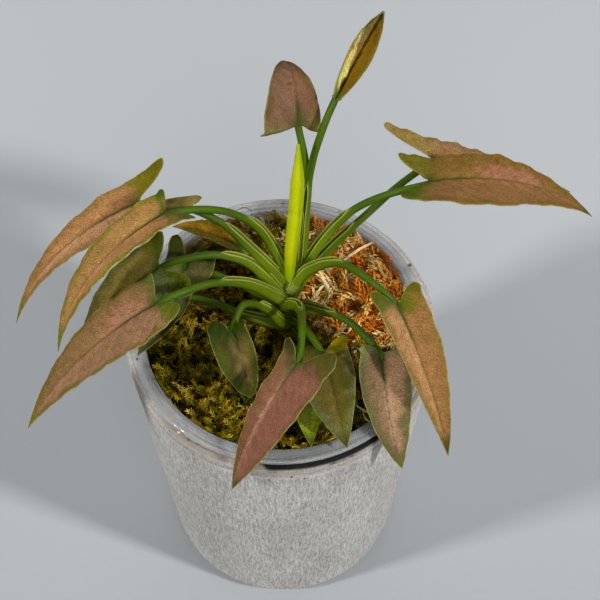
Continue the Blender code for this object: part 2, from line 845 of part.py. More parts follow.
def build_stem():
    """Stem and all petioles as one grown body, with a plain hole for the new leaf."""
    material = finish("petiole_green", (0.12, 0.26, 0.02), 0.45)
    path = smooth_path(above_floor(STEM_PATH), STEM_RINGS)
    radii = np.linspace(STEM_RADIUS, STEM_TOP_RADIUS, len(path))
    stem = add_object("stem_with_petioles", *sweep(path, round_sections(radii, STEM_SIDES)), material)
    stalks = bpy.data.collections.new("stalks")
    bpy.context.scene.collection.children.link(stalks)
    sections = petiole_sections(PETIOLE_RINGS)
    for leaf in LEAVES:
        route = smooth_path(petiole_route(leaf), PETIOLE_RINGS)
        stalk = add_object(f"stalk_{leaf.name}", *sweep(route, sections), material)
        bpy.context.scene.collection.objects.unlink(stalk)
        stalks.objects.link(stalk)
    applied_boolean(stem, "UNION", "MANIFOLD", collection=stalks)
    for stalk in list(stalks.objects):
        bpy.data.objects.remove(stalk, do_unlink=True)
    bpy.data.collections.remove(stalks)
    socket = spear_object("spear_socket", GAP, material)
    applied_boolean(stem, "DIFFERENCE", "MANIFOLD", operand=socket)
    bpy.data.objects.remove(socket, do_unlink=True)
    stem.data.set_sharp_from_angle(angle=radians(SMOOTH_ANGLE))
    return stem


def spear_object(name, extra, material):
    path = smooth_path(above_floor(SPEAR_PATH), SPEAR_RINGS)
    places = np.linspace(0, 1, len(SPEAR_RADII))
    radii = np.interp(np.linspace(0, 1, SPEAR_RINGS), places, SPEAR_RADII) + extra
    path[0] -= extra * unit(path[1] - path[0])
    return add_object(name, *sweep(path, round_sections(radii, SPEAR_SIDES)), material)


def main():
    clear_scene()
    build_pot()
    build_cup()
    build_sphagnum()
    build_moss()
    build_stem()
    spear_object("rolled_new_leaf", 0.0, finish("new_leaf_lime", (0.42, 0.50, 0.02), 0.4))
    blades = {tone: finish(f"blade_{tone}", colour, BLADE_ROUGHNESS) for tone, colour in BLADE_TONES.items()}
    for leaf in LEAVES:
        build_blade(leaf, blades[leaf.tone])


main()
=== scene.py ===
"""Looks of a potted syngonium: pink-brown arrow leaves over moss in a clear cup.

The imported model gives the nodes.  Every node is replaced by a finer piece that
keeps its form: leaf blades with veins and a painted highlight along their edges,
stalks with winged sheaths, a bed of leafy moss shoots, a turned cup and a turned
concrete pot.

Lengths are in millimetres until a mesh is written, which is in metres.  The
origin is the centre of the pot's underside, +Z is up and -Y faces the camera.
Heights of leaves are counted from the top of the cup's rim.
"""

from __future__ import annotations

import json
import logging
import math
from dataclasses import dataclass
from enum import Enum
from functools import reduce

import bpy
import numpy as np
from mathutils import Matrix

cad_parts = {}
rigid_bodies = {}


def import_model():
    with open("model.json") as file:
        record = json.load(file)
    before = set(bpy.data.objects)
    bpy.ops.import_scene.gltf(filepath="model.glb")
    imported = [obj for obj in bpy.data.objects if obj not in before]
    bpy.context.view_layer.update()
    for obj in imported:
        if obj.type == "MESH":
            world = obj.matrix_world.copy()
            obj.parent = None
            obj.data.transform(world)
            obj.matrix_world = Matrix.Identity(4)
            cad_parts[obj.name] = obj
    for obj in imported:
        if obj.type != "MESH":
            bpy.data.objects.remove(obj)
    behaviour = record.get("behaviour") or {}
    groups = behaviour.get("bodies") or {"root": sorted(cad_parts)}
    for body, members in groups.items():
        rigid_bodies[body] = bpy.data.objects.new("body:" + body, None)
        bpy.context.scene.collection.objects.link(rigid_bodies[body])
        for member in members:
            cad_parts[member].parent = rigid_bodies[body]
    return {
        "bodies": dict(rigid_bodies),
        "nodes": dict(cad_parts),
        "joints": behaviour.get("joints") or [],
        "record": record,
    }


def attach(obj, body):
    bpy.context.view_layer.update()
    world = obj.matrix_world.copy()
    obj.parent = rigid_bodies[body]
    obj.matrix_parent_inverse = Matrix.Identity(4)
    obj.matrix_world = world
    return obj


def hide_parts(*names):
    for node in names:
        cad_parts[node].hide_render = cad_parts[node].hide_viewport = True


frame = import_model()

LOG = logging.getLogger("syngonium")

Array = np.ndarray
Rgb = tuple[float, float, float]
Pair = tuple[float, float]
Point = tuple[float, float, float]
Socket = bpy.types.NodeSocket
Material = bpy.types.Material

MM = 0.001
BODY = "root"
RIM_TOP = 114.0
FAR = 99.0
GOLDEN_ANGLE = math.pi * (3.0 - math.sqrt(5.0))
GOLDEN_SHARE = 0.618034


class Slot(str, Enum):
    """Material slots of the record."""

    CONCRETE = "concrete"
    PLASTIC = "clear_plastic"
    DRY = "dried_sphagnum"
    MOSS = "green_moss"
    STALK = "petiole"
    NEW_LEAF = "new_leaf"
    PINK = "blade_pink_brown"
    OLIVE = "blade_olive_pink"
    GREEN = "blade_green"


def linear(colour: Rgb) -> Array:
    """Linear light from 0 to 1 of a display colour from 0 to 255, by the sRGB curve."""
    share = np.asarray(colour, float) / 255.0
    return np.where(share <= 0.04045, share / 12.92, ((share + 0.055) / 1.055) ** 2.4)


def smooth(values: Array) -> Array:
    """Ease values from 0 to 1 with the cubic 3v^2 - 2v^3, clipped at both ends."""
    clipped = np.clip(values, 0.0, 1.0)
    return clipped * clipped * (3.0 - 2.0 * clipped)


def unit(vectors: Array) -> Array:
    """Vectors scaled to length one, their components on the last axis."""
    return vectors / np.maximum(np.linalg.norm(vectors, axis=-1, keepdims=True), 1e-12)


def blend(first: Array, second: Array, share: Array) -> Array:
    """Mix two colours by one share for each point: 0 gives the first, 1 the second."""
    weight = np.asarray(share)[..., None]
    return first * (1.0 - weight) + second * weight


def layered(ground: Array, layers: list[tuple[Array, Array]]) -> Array:
    """Lay linear colours over a ground one by one.

    Args:
        ground: linear colour of the ground.
        layers: pairs of a linear colour and its share at each point.

    Returns:
        One colour for each point.
    """
    for colour, share in layers:
        ground = blend(ground, colour, share)
    return ground


def bell(distance: Array, width: float) -> Array:
    """Gaussian exp(-(distance / width)^2): 1 at no distance, 0.37 at the width."""
    return np.exp(-((distance / width) ** 2))


def round_angles(count: int) -> Array:
    """Angles of one full turn in even steps, in radians."""
    return np.linspace(0, 2 * np.pi, count, endpoint=False)


def on_circle(angles: Array) -> Array:
    """Points of the unit circle: cosine and sine of each angle."""
    return np.stack([np.cos(angles), np.sin(angles)], axis=-1)


def above_floor(points: tuple | Array) -> Array:
    """Copy of points whose heights above the rim become heights above the floor."""
    return np.asarray(points, float) + np.array([0.0, 0.0, RIM_TOP])


def with_hubs(values: Array) -> Array:
    """Values of a body's ring points, followed by a zero for each of its two hubs."""
    return np.concatenate([values.ravel(), [0.0, 0.0]])


def stalk_place(angles: Array, along: Array) -> Array:
    """Place on a stalk: its turn as a circle of 3 mm, with the millimetres along it."""
    return np.stack([np.cos(angles) * 3.0, along, np.sin(angles) * 3.0], axis=-1)


def drift(points: Array, wavelength: float, seed: int) -> Array:
    """Slow variation in space: a sum of five sine waves with seeded directions.

    Args:
        points: positions in millimetres.
        wavelength: typical distance from crest to crest.
        seed: picks the directions and phases.

    Returns:
        Values around 0, mostly between -1 and 1.
    """
    rng = np.random.default_rng(seed)
    waves = unit(rng.normal(size=(5, 3))) * rng.uniform(0.7, 1.5, (5, 1))
    phases = rng.uniform(0.0, 2.0 * np.pi, 5)
    return np.sin(points @ waves.T * (2.0 * np.pi / wavelength) + phases).sum(axis=-1) / 2.6


def linked(name: str, data: bpy.types.ID) -> bpy.types.Object:
    """Put data into the scene.

    Args:
        name: the new object's name.
        data: its mesh, light or camera.

    Returns:
        The object, at the origin.
    """
    thing = bpy.data.objects.new(name, data)
    bpy.context.scene.collection.objects.link(thing)
    return thing


@dataclass
class Skin:
    """One closed surface with its per-point data.

    Attributes:
        points: (n, 3) positions in millimetres.
        faces: (m, 3) triangles that face out.
        tint: (n, 3) linear colours.
        place: (n, 3) the piece's own coordinates, for its material.
    """

    points: Array
    faces: Array
    tint: Array
    place: Array

    @staticmethod
    def joined(skins: list[Skin]) -> Skin:
        """Put several closed surfaces into one.

        Args:
            skins: the surfaces, which stay separate shells.

        Returns:
            One skin that holds them all.
        """
        counts = [len(skin.points) for skin in skins]
        starts = np.concatenate([[0], np.cumsum(counts)[:-1]])
        return Skin(
            np.concatenate([skin.points for skin in skins]),
            np.concatenate([skin.faces + start for skin, start in zip(skins, starts)]),
            np.concatenate([skin.tint for skin in skins]),
            np.concatenate([skin.place for skin in skins]),
        )

    @staticmethod
    def shells(points: Array, faces: Array, tint: Array) -> Skin:
        """Skin of arrays with any leading axes and a tint that fits them, placed by position."""
        points, tint = (np.broadcast_to(a, points.shape).reshape(-1, 3) for a in (points, tint))
        return Skin(points, faces.reshape(-1, 3), tint, points)

    def to_object(
        self, name: str, material: Material, slot: Slot, nodes: tuple[str, ...], facets: bool = False
    ) -> None:
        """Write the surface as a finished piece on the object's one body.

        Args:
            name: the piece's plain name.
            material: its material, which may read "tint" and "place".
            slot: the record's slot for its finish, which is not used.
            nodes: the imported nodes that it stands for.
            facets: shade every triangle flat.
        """
        mesh = bpy.data.meshes.new(name)
        count, corners = len(self.points), self.faces.size
        mesh.vertices.add(count)
        mesh.vertices.foreach_set("co", (self.points * MM).astype(np.float32).ravel())
        mesh.loops.add(corners)
        mesh.loops.foreach_set("vertex_index", self.faces.astype(np.int32).ravel())
        mesh.polygons.add(len(self.faces))
        mesh.polygons.foreach_set("loop_start", np.arange(0, corners, 3, dtype=np.int32))
        mesh.update(calc_edges=True)
        tints = np.concatenate([self.tint, np.ones((count, 1))], axis=1)
        colours = mesh.color_attributes.new("tint", "FLOAT_COLOR", "POINT")
        colours.data.foreach_set("color", tints.astype(np.float32).ravel())
        places = mesh.attributes.new("place", "FLOAT_VECTOR", "POINT")
        places.data.foreach_set("vector", self.place.astype(np.float32).ravel())
        mesh.validate()
        if facets:
            mesh.shade_flat()
        else:
            mesh.shade_smooth()
        mesh.materials.append(material)
        piece = linked(name, mesh)
        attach(piece, BODY)
        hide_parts(*nodes)
        LOG.info("%s: %d points, %d triangles", name, count, len(self.faces))


def ring_faces(rings: int, count: int) -> Array:
    """Triangles between neighbouring closed rings of equal size.

    Args:
        rings: how many rings there are.
        count: points on each ring.

    Returns:
        The triangles as point numbers.
    """
    row = np.arange(rings - 1)[:, None] * count
    a = row + np.arange(count)
    b = row + (np.arange(count) + 1) % count
    pairs = np.stack([a, a + count, b + count, a, b + count, b], axis=-1)
    return pairs.reshape(-1, 3)


def capped_faces(rings: int, count: int) -> Array:
    """Triangles of a closed body: rings of equal size, and a fan at each end.

    The fans meet in two hubs, which are the points after those of the rings.

    Args:
        rings: how many rings there are.
        count: points on each ring.

    Returns:
        The triangles as point numbers.
    """
    a = np.arange(count)
    b = (a + 1) % count
    end, hub = (rings - 1) * count, rings * count
    return np.concatenate(
        [
            ring_faces(rings, count),
            np.stack([np.full(count, hub), a, b], axis=-1),
            np.stack([end + b, end + a, np.full(count, hub + 1)], axis=-1),
        ]
    )


def sheet_faces(rows: int, columns: int) -> Array:
    """Triangles of an open grid, two for each cell.

    Args:
        rows: points along the grid.
        columns: points across it.

    Returns:
        The triangles as point numbers.
    """
    a = (np.arange(rows - 1)[:, None] * columns + np.arange(columns - 1)).ravel()
    b, c, d = a + 1, a + columns + 1, a + columns
    return np.stack([a, b, c, a, c, d], axis=-1).reshape(-1, 3)


def open_rim(faces: Array) -> Array:
    """Directed edges that only one triangle uses.

    Args:
        faces: triangles of an open sheet.

    Returns:
        The edges, in the direction of their triangle.
    """
    edges = np.concatenate([faces[:, [0, 1]], faces[:, [1, 2]], faces[:, [2, 0]]])
    span = int(faces.max()) + 1
    keys = edges[:, 0] * span + edges[:, 1]
    return edges[~np.isin(keys, edges[:, 1] * span + edges[:, 0])]


def shell_faces(sheet: Array, count: int) -> Array:
    """Triangles of a closed shell made of an open sheet and its copy beneath.

    The copy's points follow the sheet's and its triangles are turned round.  A strip of
    walls joins the two rims.

    Args:
        sheet: triangles of the sheet.
        count: points of the sheet.

    Returns:
        The triangles of both and of the walls.
    """
    first, second = open_rim(sheet).T
    return np.concatenate(
        [
            sheet,
            sheet[:, ::-1] + count,
            np.stack([second, first, first + count], axis=-1),
            np.stack([second, first + count, second + count], axis=-1),
        ]
    )


def point_normals(points: Array, faces: Array) -> Array:
    """Normals of a sheet's points: the sum of its triangles' normals, by their area.

    Args:
        points: (n, 3) positions.
        faces: triangles.

    Returns:
        (n, 3) unit normals.
    """
    corners = points[faces]
    flat = np.cross(corners[:, 1] - corners[:, 0], corners[:, 2] - corners[:, 0])
    normals = np.zeros_like(points)
    for corner in range(3):
        np.add.at(normals, faces[:, corner], flat)
    return unit(normals)


def welded(points: Array, faces: Array) -> tuple[Array, Array, Array]:
    """Make points that coincide one, and drop the triangles that collapse.

    Args:
        points: (n, 3) positions.
        faces: triangles.

    Returns:
        The points left, their old numbers, and the triangles left.
    """
    _, first, index = np.unique(np.round(points, 3), axis=0, return_index=True, return_inverse=True)
    faces = index.reshape(-1)[faces]
    a, b, c = faces.T
    return points[first], first, faces[(a != b) & (b != c) & (a != c)]


def smooth_path(points: Array, count: int, fine: int = 400) -> Array:
    """Catmull-Rom curve through the points, sampled evenly along its length.

    Args:
        points: (n, 3) points on the curve.
        count: how many samples to return.
        fine: samples used to measure the length.

    Returns:
        (count, 3) samples.
    """
    points = np.asarray(points, float)
    ghosts = np.concatenate([[2 * points[0] - points[1]], points, [2 * points[-1] - points[-2]]])
    places = np.linspace(0, len(points) - 1, fine)
    index = np.minimum(places.astype(int), len(points) - 2)
    t = (places - index)[:, None]
    a, b, c, d = (ghosts[index + i] for i in range(4))
    curve = 2 * b + (c - a) * t + (2 * a - 5 * b + 4 * c - d) * t**2
    curve = 0.5 * (curve + (3 * b - a - 3 * c + d) * t**3)
    lengths = np.concatenate([[0.0], np.cumsum(np.linalg.norm(np.diff(curve, axis=0), axis=1))])
    wanted = np.linspace(0, lengths[-1], count)
    return np.stack([np.interp(wanted, lengths, curve[:, i]) for i in range(3)], axis=-1)


def sweep(path: Array, sections: Array) -> tuple[Array, Array, Array]:
    """Closed body made of one ring of section points at each path point.

    Each ring stands square to the path, its second axis as upright as it can be.

    Args:
        path: (n, 3) centre line.
        sections: (n, k, 2) offsets to the side and up.

    Returns:
        Points, triangles, and for each point its share along the path.
    """
    tangents = unit(np.gradient(path, axis=0))
    up = np.array([0.0, 0.0, 1.0])
    normals = unit(up - (tangents @ up)[:, None] * tangents)
    sides = np.cross(tangents, normals)
    rings = path[:, None] + sections[..., :1] * sides[:, None] + sections[..., 1:] * normals[:, None]
    count, sides_count = sections.shape[:2]
    points = np.concatenate([rings.reshape(-1, 3), path[:1], path[-1:]])
    share = np.concatenate([np.repeat(np.linspace(0, 1, count), sides_count), [0.0, 1.0]])
    return points, capped_faces(count, sides_count), share


def lathe(profile: Array, segments: int) -> tuple[Array, Array]:
    """Turned body from a profile that runs from the axis and back to it.

    Args:
        profile: (n, 2) radius and height, first and last point on the axis.
        segments: points round each ring.

    Returns:
        Points and triangles.
    """
    inner = profile[1:-1]
    flat = inner[:, :1, None] * on_circle(round_angles(segments))
    z = np.broadcast_to(inner[:, 1:, None], (*flat.shape[:2], 1))
    rings = np.concatenate([flat, z], axis=-1).reshape(-1, 3)
    ends = [(0.0, 0.0, profile[0, 1]), (0.0, 0.0, profile[-1, 1])]
    return np.concatenate([rings, ends]), capped_faces(len(inner), segments)[:, ::-1]


def arc(centre: Pair, radius: float, start: float, end: float, steps: int) -> list[Pair]:
    """Points of an arc in a profile, from a first to a last angle in degrees."""
    angles = np.radians(np.linspace(start, end, steps + 1))
    return list(zip(centre[0] + radius * np.cos(angles), centre[1] + radius * np.sin(angles)))


def refined(profile: list[Pair], step: float) -> Array:
    """Cut the long straight parts of a profile into steps.

    Args:
        profile: corner points.
        step: longest part that stays whole.

    Returns:
        (n, 2) points that include every corner.
    """
    corners = np.asarray(profile, float)
    parts = [corners[:1]]
    for start, end in zip(corners[:-1], corners[1:]):
        count = max(1, math.ceil(float(np.linalg.norm(end - start)) / step))
        parts.append(start + (end - start) * np.linspace(0, 1, count + 1)[1:, None])
    return np.concatenate(parts)


def with_alpha(colour: object) -> object:
    """A colour's socket as it is, or a linear colour as four numbers."""
    return colour if isinstance(colour, Socket) else (*colour, 1.0)


class Graph:
    """Short calls that add shader nodes to one material."""

    def __init__(self, name: str) -> None:
        """Start a material with a Principled shader.

        Args:
            name: the material's name.
        """
        self.material = bpy.data.materials.new(name)
        self.material.use_nodes = True
        self.tree = self.material.node_tree
        self.shader = self.tree.nodes["Principled BSDF"]

    def feed(self, socket: Socket, source: object) -> None:
        """Link a socket to a source, or set its value.

        Args:
            socket: the input.
            source: another socket, or a plain value.
        """
        if isinstance(source, Socket):
            self.tree.links.new(source, socket)
        else:
            socket.default_value = source

    def node(
        self, kind: str, inputs: dict[str | int, object], output: str | int = 0, **settings: object
    ) -> Socket:
        """Add a node, feed its inputs and pick an output.

        Args:
            kind: Blender's node type.
            inputs: a socket or plain value for each input, by name or number.
            output: name or number of the output.
            settings: properties set on the node.

        Returns:
            The output's socket.
        """
        node = self.tree.nodes.new(kind)
        for key, value in settings.items():
            setattr(node, key, value)
        for key, source in inputs.items():
            self.feed(node.inputs[key], source)
        return node.outputs[output]

    def attribute(self, name: str, output: str) -> Socket:
        """A mesh attribute, read by its "Color", "Vector" or "Fac" output."""
        return self.node("ShaderNodeAttribute", {}, output, attribute_name=name)

    def vector(self, operation: str, first: object, second: object, output: int = 0) -> Socket:
        """One step of vector arithmetic, whose output is 0 for a vector and 1 for a number."""
        return self.node("ShaderNodeVectorMath", {0: first, 1: second}, output, operation=operation)

    def where(self, stretch: Point = (1.0, 1.0, 1.0)) -> Socket:
        """Object coordinates in metres, scaled by a factor along each axis."""
        return self.vector("MULTIPLY", self.node("ShaderNodeTexCoord", {}, "Object"), stretch)

    def parts(self, vector: Socket) -> list[Socket]:
        """The three components of a vector."""
        return list(self.node("ShaderNodeSeparateXYZ", {0: vector}).node.outputs)

    def noise(self, vector: Socket, scale: float, detail: float, rough: float) -> Socket:
        """Noise from 0 to 1, by its frequency, its octaves and the strength of the fine ones."""
        inputs = {"Vector": vector, "Scale": scale, "Detail": detail, "Roughness": rough}
        return self.node("ShaderNodeTexNoise", inputs, "Fac")

    def spots(self, vector: Socket, scale: float) -> Socket:
        """Distance to the nearest of many scattered points, as dense as the scale says."""
        return self.node("ShaderNodeTexVoronoi", {"Vector": vector, "Scale": scale}, "Distance")

    def math(self, operation: str, first: object, second: object = 0.0) -> Socket:
        """One step of arithmetic on sockets or numbers, by Blender's name for it."""
        return self.node("ShaderNodeMath", {0: first, 1: second}, operation=operation)

    def times(self, *factors: object) -> Socket:
        """Product of sockets and numbers, taken from left to right."""
        return reduce(lambda first, second: self.math("MULTIPLY", first, second), factors)

    def spread(
        self, value: Socket, low: float, high: float, to_low: float = 0.0, to_high: float = 1.0
    ) -> Socket:
        """Map low and high smoothly onto to_low and to_high, and clip what lies beyond them."""
        inputs = {"Value": value, "From Min": low, "From Max": high, "To Min": to_low, "To Max": to_high}
        return self.node("ShaderNodeMapRange", inputs, "Result", interpolation_type="SMOOTHSTEP")

    def mix(self, factor: Socket, first: object, second: object, mode: str = "MIX") -> Socket:
        """Mix two sockets or linear colours by a factor, in one of Blender's blend modes."""
        inputs = {"Factor": factor, 6: with_alpha(first), 7: with_alpha(second)}
        return self.node("ShaderNodeMix", inputs, 2, data_type="RGBA", blend_type=mode)

    def bump(self, height: Socket, strength: float, depth: float) -> None:
        """Bend the shading normal by a height, whose range from 0 to 1 is the depth in mm."""
        inputs = {"Height": height, "Strength": strength, "Distance": depth * MM}
        self.feed(self.shader.inputs["Normal"], self.node("ShaderNodeBump", inputs, "Normal"))

    def surface(self, **values: object) -> None:
        """Feed the shader's inputs, named with underscores for spaces: a socket or a constant."""
        for name, value in values.items():
            self.feed(self.shader.inputs[name.replace("_", " ")], value)


@dataclass(frozen=True)
class ConcreteFinish:
    """Matt cast concrete: streaky grey mottling, dark pits and a beige worn lip.

    The lip's front, in the direction that front gives, carries a painted shadow, and the
    ring that the cup covers carries painted shade.  Fine, coarse and pitting are
    frequencies for each metre.
    """

    name: str = "concrete_streaked"
    light: Rgb = (214, 210, 206)
    dark: Rgb = (148, 145, 141)
    cloud: Rgb = (196, 193, 186)
    beige: Rgb = (186, 174, 162)
    pit: Rgb = (70, 62, 56)
    worn: Rgb = (128, 106, 92)
    # painted shadow of the gap under the cup's rim, on the lip's front
    painted_gap_shadow: Rgb = (112, 102, 92)
    # painted shade on the ring of the lip under the cup's rim
    painted_rim_shade: Rgb = (12, 12, 11)
    band_foot: float = 106.2
    front: Point = (0.32, -0.95, 0.0)
    fine: float = 1900.0
    coarse: float = 55.0
    pitting: float = 330.0

    def build(self) -> Material:
        """Make the material.

        Streaks and grain are noise stretched down the side.  Beige comes in above the
        groove, where scuffs lie, and pits grow darker from the side to the lip.

        Returns:
            The material, in object coordinates.
        """
        graph = Graph(self.name)
        spread = graph.spread
        streaks = graph.noise(graph.where((1.0, 1.0, 0.11)), self.fine, 4.0, 0.7)
        grain = graph.noise(graph.where((1.0, 1.0, 0.6)), self.fine, 3.0, 0.65)
        clouds = graph.noise(graph.where((1.0, 1.0, 0.5)), self.coarse, 3.0, 0.5)
        tone = graph.math("ADD", graph.times(streaks, 0.62), graph.times(grain, 0.38))
        tone = spread(tone, 0.36, 0.64)
        colour = graph.mix(tone, linear(self.dark), linear(self.light))
        colour = graph.mix(spread(clouds, 0.35, 0.7, 0.0, 0.35), colour, linear(self.cloud), "MULTIPLY")
        height = graph.parts(graph.where((1000.0, 1000.0, 1000.0)))[2]
        level = graph.math("ADD", height, graph.times(clouds, 5.0))
        lip = spread(level, self.band_foot, self.band_foot + 4.0, 0.0, 0.45)
        colour = graph.mix(lip, colour, linear(self.beige))
        groove = graph.math("ABSOLUTE", graph.math("SUBTRACT", height, self.band_foot + 0.8))
        worn = graph.times(spread(groove, 0.2, 1.1, 0.75, 0.0), spread(streaks, 0.4, 0.6))
        colour = graph.mix(worn, colour, linear(self.worn))
        pits = spread(graph.spots(graph.where((1.0, 1.0, 0.7)), self.pitting), 0.10, 0.2, 1.0, 0.0)
        near_lip = spread(height, self.band_foot - 14.0, self.band_foot + 4.0, 0.05, 0.9)
        pitted = graph.times(pits, near_lip, spread(clouds, 0.4, 0.54))
        colour = graph.mix(pitted, colour, linear(self.pit))
        roughness = spread(tone, 0.0, 1.0, 0.95, 0.78)
        colour = self.under_cup(graph, colour, height)
        graph.surface(Base_Color=colour, Roughness=roughness, Specular_IOR_Level=0.3)
        graph.bump(graph.math("SUBTRACT", tone, pits), 0.4, 0.25)
        return graph.material

    def under_cup(self, graph: Graph, colour: Socket, height: Socket) -> Socket:
        """Paint shade on the ring of the lip that the cup's rim covers, and a painted shadow on its front.

        The covered ring reaches 42 mm from the axis.  At the front it reaches 1.5 mm
        further and is darker.

        Args:
            graph: nodes of the material.
            colour: the concrete's colour.
            height: millimetres above the floor.

        Returns:
            The colour with both.
        """
        flat = graph.where((1000.0, 1000.0, 0.0))
        radius = graph.vector("LENGTH", flat, (0.0, 0.0, 0.0), 1)
        toward = graph.vector("DOT_PRODUCT", flat, self.front, 1)
        # painted shadow of the gap under the cup's rim, on the lip's front
        gap_shadow_share = graph.times(graph.spread(height, 111.0, 111.8), graph.spread(toward, 8.0, 26.0, 0.0, 0.7))
        colour = graph.mix(gap_shadow_share, colour, linear(self.painted_gap_shadow))
        # painted shade on the ring of the lip under the cup's rim
        ring = graph.math("SUBTRACT", radius, graph.spread(toward, 37.5, 40.5, 0.0, 1.5))
        covered = graph.times(
            graph.spread(ring, 41.7, 42.3, 1.0, 0.0),
            graph.spread(height, 109.6, 110.4),
            graph.spread(toward, 31.0, 39.0, 0.3, 1.0),
        )
        return graph.mix(covered, colour, linear(self.painted_rim_shade))


@dataclass(frozen=True)
class PlasticFinish:
    """Thin clear plastic with faint scuffs, in linear colours."""

    name: str = "clear_cup_plastic"
    clean: Rgb = (0.94, 0.96, 0.97)
    scuffed: Rgb = (0.8, 0.83, 0.85)

    def build(self) -> Material:
        """Make the material.

        Returns:
            The material, duller and rougher where the noise of scuffs is high.
        """
        graph = Graph(self.name)
        scuffs = graph.noise(graph.where(), 380.0, 3.0, 0.6)
        graph.surface(
            Base_Color=graph.mix(graph.spread(scuffs, 0.45, 0.75), self.clean, self.scuffed),
            Roughness=graph.spread(scuffs, 0.35, 0.75, 0.03, 0.16),
            IOR=1.5,
            Transmission_Weight=0.72,
            Alpha=0.62,
            Coat_Weight=0.5,
            Coat_Roughness=0.04,
        )
        graph.bump(scuffs, 0.06, 0.1)
        return graph.material


@dataclass(frozen=True)
class BladeFinish:
    """Leaf skin: the point's own tint, flecked along faint lateral veins.

    Veins lie vein_gap millimetres apart and run on by vein_slant for each millimetre
    across.  Dust is the linear factor of the pale grain.
    """

    name: str
    vein_gap: float = 3.4
    vein_slant: float = 1.05
    fleck: Rgb = (86, 60, 26)
    dust: Point = (1.4, 1.36, 1.4)
    vein: Rgb = (112, 62, 44)
    strength: float = 0.5

    def build(self) -> Material:
        """Make the material.

        The place attribute holds millimetres across from the midrib (left is
        negative), millimetres along from the joint, and millimetres from the edge.
        The flecks are noise stretched along the lateral veins.

        Returns:
            The material.
        """
        graph = Graph(self.name)
        spread, times = graph.spread, graph.times
        tint = graph.attribute("tint", "Color")
        across, along, edge = graph.parts(graph.attribute("place", "Vector"))
        near = graph.math("ABSOLUTE", across)
        rise = graph.math("SUBTRACT", along, times(near, self.vein_slant))
        stretched = graph.node("ShaderNodeCombineXYZ", {0: times(rise, 2.2), 1: times(across, 1.1)})
        flecks = graph.noise(stretched, 1.0, 3.0, 0.65)
        blotches = graph.noise(graph.where(), 520.0, 3.0, 0.6)
        grain = graph.noise(graph.where(), 3600.0, 2.0, 0.6)
        phase = graph.math("DIVIDE", graph.math("ADD", rise, times(blotches, 2.0)), self.vein_gap)
        off = graph.math("ABSOLUTE", graph.math("SUBTRACT", graph.math("FRACT", phase), 0.5))
        inside = times(spread(edge, 0.8, 2.4), spread(near, 0.4, 1.2))
        vein = times(spread(off, 0.0, 0.12, 1.0, 0.0), inside)
        dark = graph.math("ADD", times(flecks, 0.6), times(blotches, 0.4))
        colour = graph.mix(times(spread(dark, 0.46, 0.68), self.strength), tint, linear(self.fleck))
        light = graph.math("SUBTRACT", grain, times(flecks, 0.35))
        colour = graph.mix(spread(light, 0.3, 0.5), colour, self.dust, "MULTIPLY")
        colour = graph.mix(spread(grain, 0.38, 0.52, 0.5, 0.0), colour, linear(self.fleck))
        colour = graph.mix(times(vein, 0.16), colour, linear(self.vein))
        roughness = spread(grain, 0.3, 0.7, 0.4, 0.6)
        graph.surface(Base_Color=colour, Roughness=roughness, Specular_IOR_Level=0.012)
        graph.bump(graph.math("SUBTRACT", times(flecks, 0.5), times(vein, 0.35)), 0.4, 0.12)
        return graph.material


@dataclass(frozen=True)
class StalkFinish:
    """Fresh plant skin: the point's own tint with fine lengthwise streaks."""

    name: str
    roughness: float = 0.34
    streak: Rgb = (112, 134, 22)
    shade: Rgb = (42, 62, 4)

    def build(self) -> Material:
        """Make the material.

        The place attribute holds the turn round the stalk and the millimetres along it,
        along which the noise of the streaks is stretched.

        Returns:
            The material.
        """
        graph = Graph(self.name)
        stretched = graph.vector("MULTIPLY", graph.attribute("place", "Vector"), (3.0, 0.12, 1.0))
        lines = graph.noise(stretched, 2.2, 3.0, 0.6)
        grain = graph.noise(graph.where(), 2400.0, 2.0, 0.6)
        tint = graph.attribute("tint", "Color")
        colour = graph.mix(graph.spread(lines, 0.42, 0.7, 0.0, 0.3), tint, linear(self.streak))
        colour = graph.mix(graph.spread(grain, 0.35, 0.7, 0.3, 0.0), colour, linear(self.shade))
        roughness = graph.spread(lines, 0.3, 0.7, self.roughness, 0.5)
        graph.surface(Base_Color=colour, Roughness=roughness, Specular_IOR_Level=0.14)
        graph.bump(lines, 0.35, 0.2)
        return graph.material


@dataclass(frozen=True)
class MossFinish:
    """Moss, living or dried: the shoot's own tint, darkened in a fine noise pattern as painted shade between
    fibres.
    """

    name: str
    roughness: float = 0.7
    gap: Rgb = (0.2, 0.14, 0.06)

    def build(self) -> Material:
        """Make the material.

        Returns:
            The material, its tint darkened towards the linear gap colour in a fine noise pattern, as painted
            shade between fibres.
        """
        graph = Graph(self.name)
        fibre = graph.noise(graph.where(), 2600.0, 2.0, 0.6)
        tint = graph.attribute("tint", "Color")
        # painted shade between fibres, in a fine noise pattern
        colour = graph.mix(graph.spread(fibre, 0.3, 0.6, 0.35, 0.0), tint, self.gap, "MULTIPLY")
        roughness = graph.spread(fibre, 0.3, 0.7, self.roughness, 0.9)
        graph.surface(Base_Color=colour, Roughness=roughness, Specular_IOR_Level=0.08)
        graph.bump(fibre, 0.4, 0.15)
        return graph.material


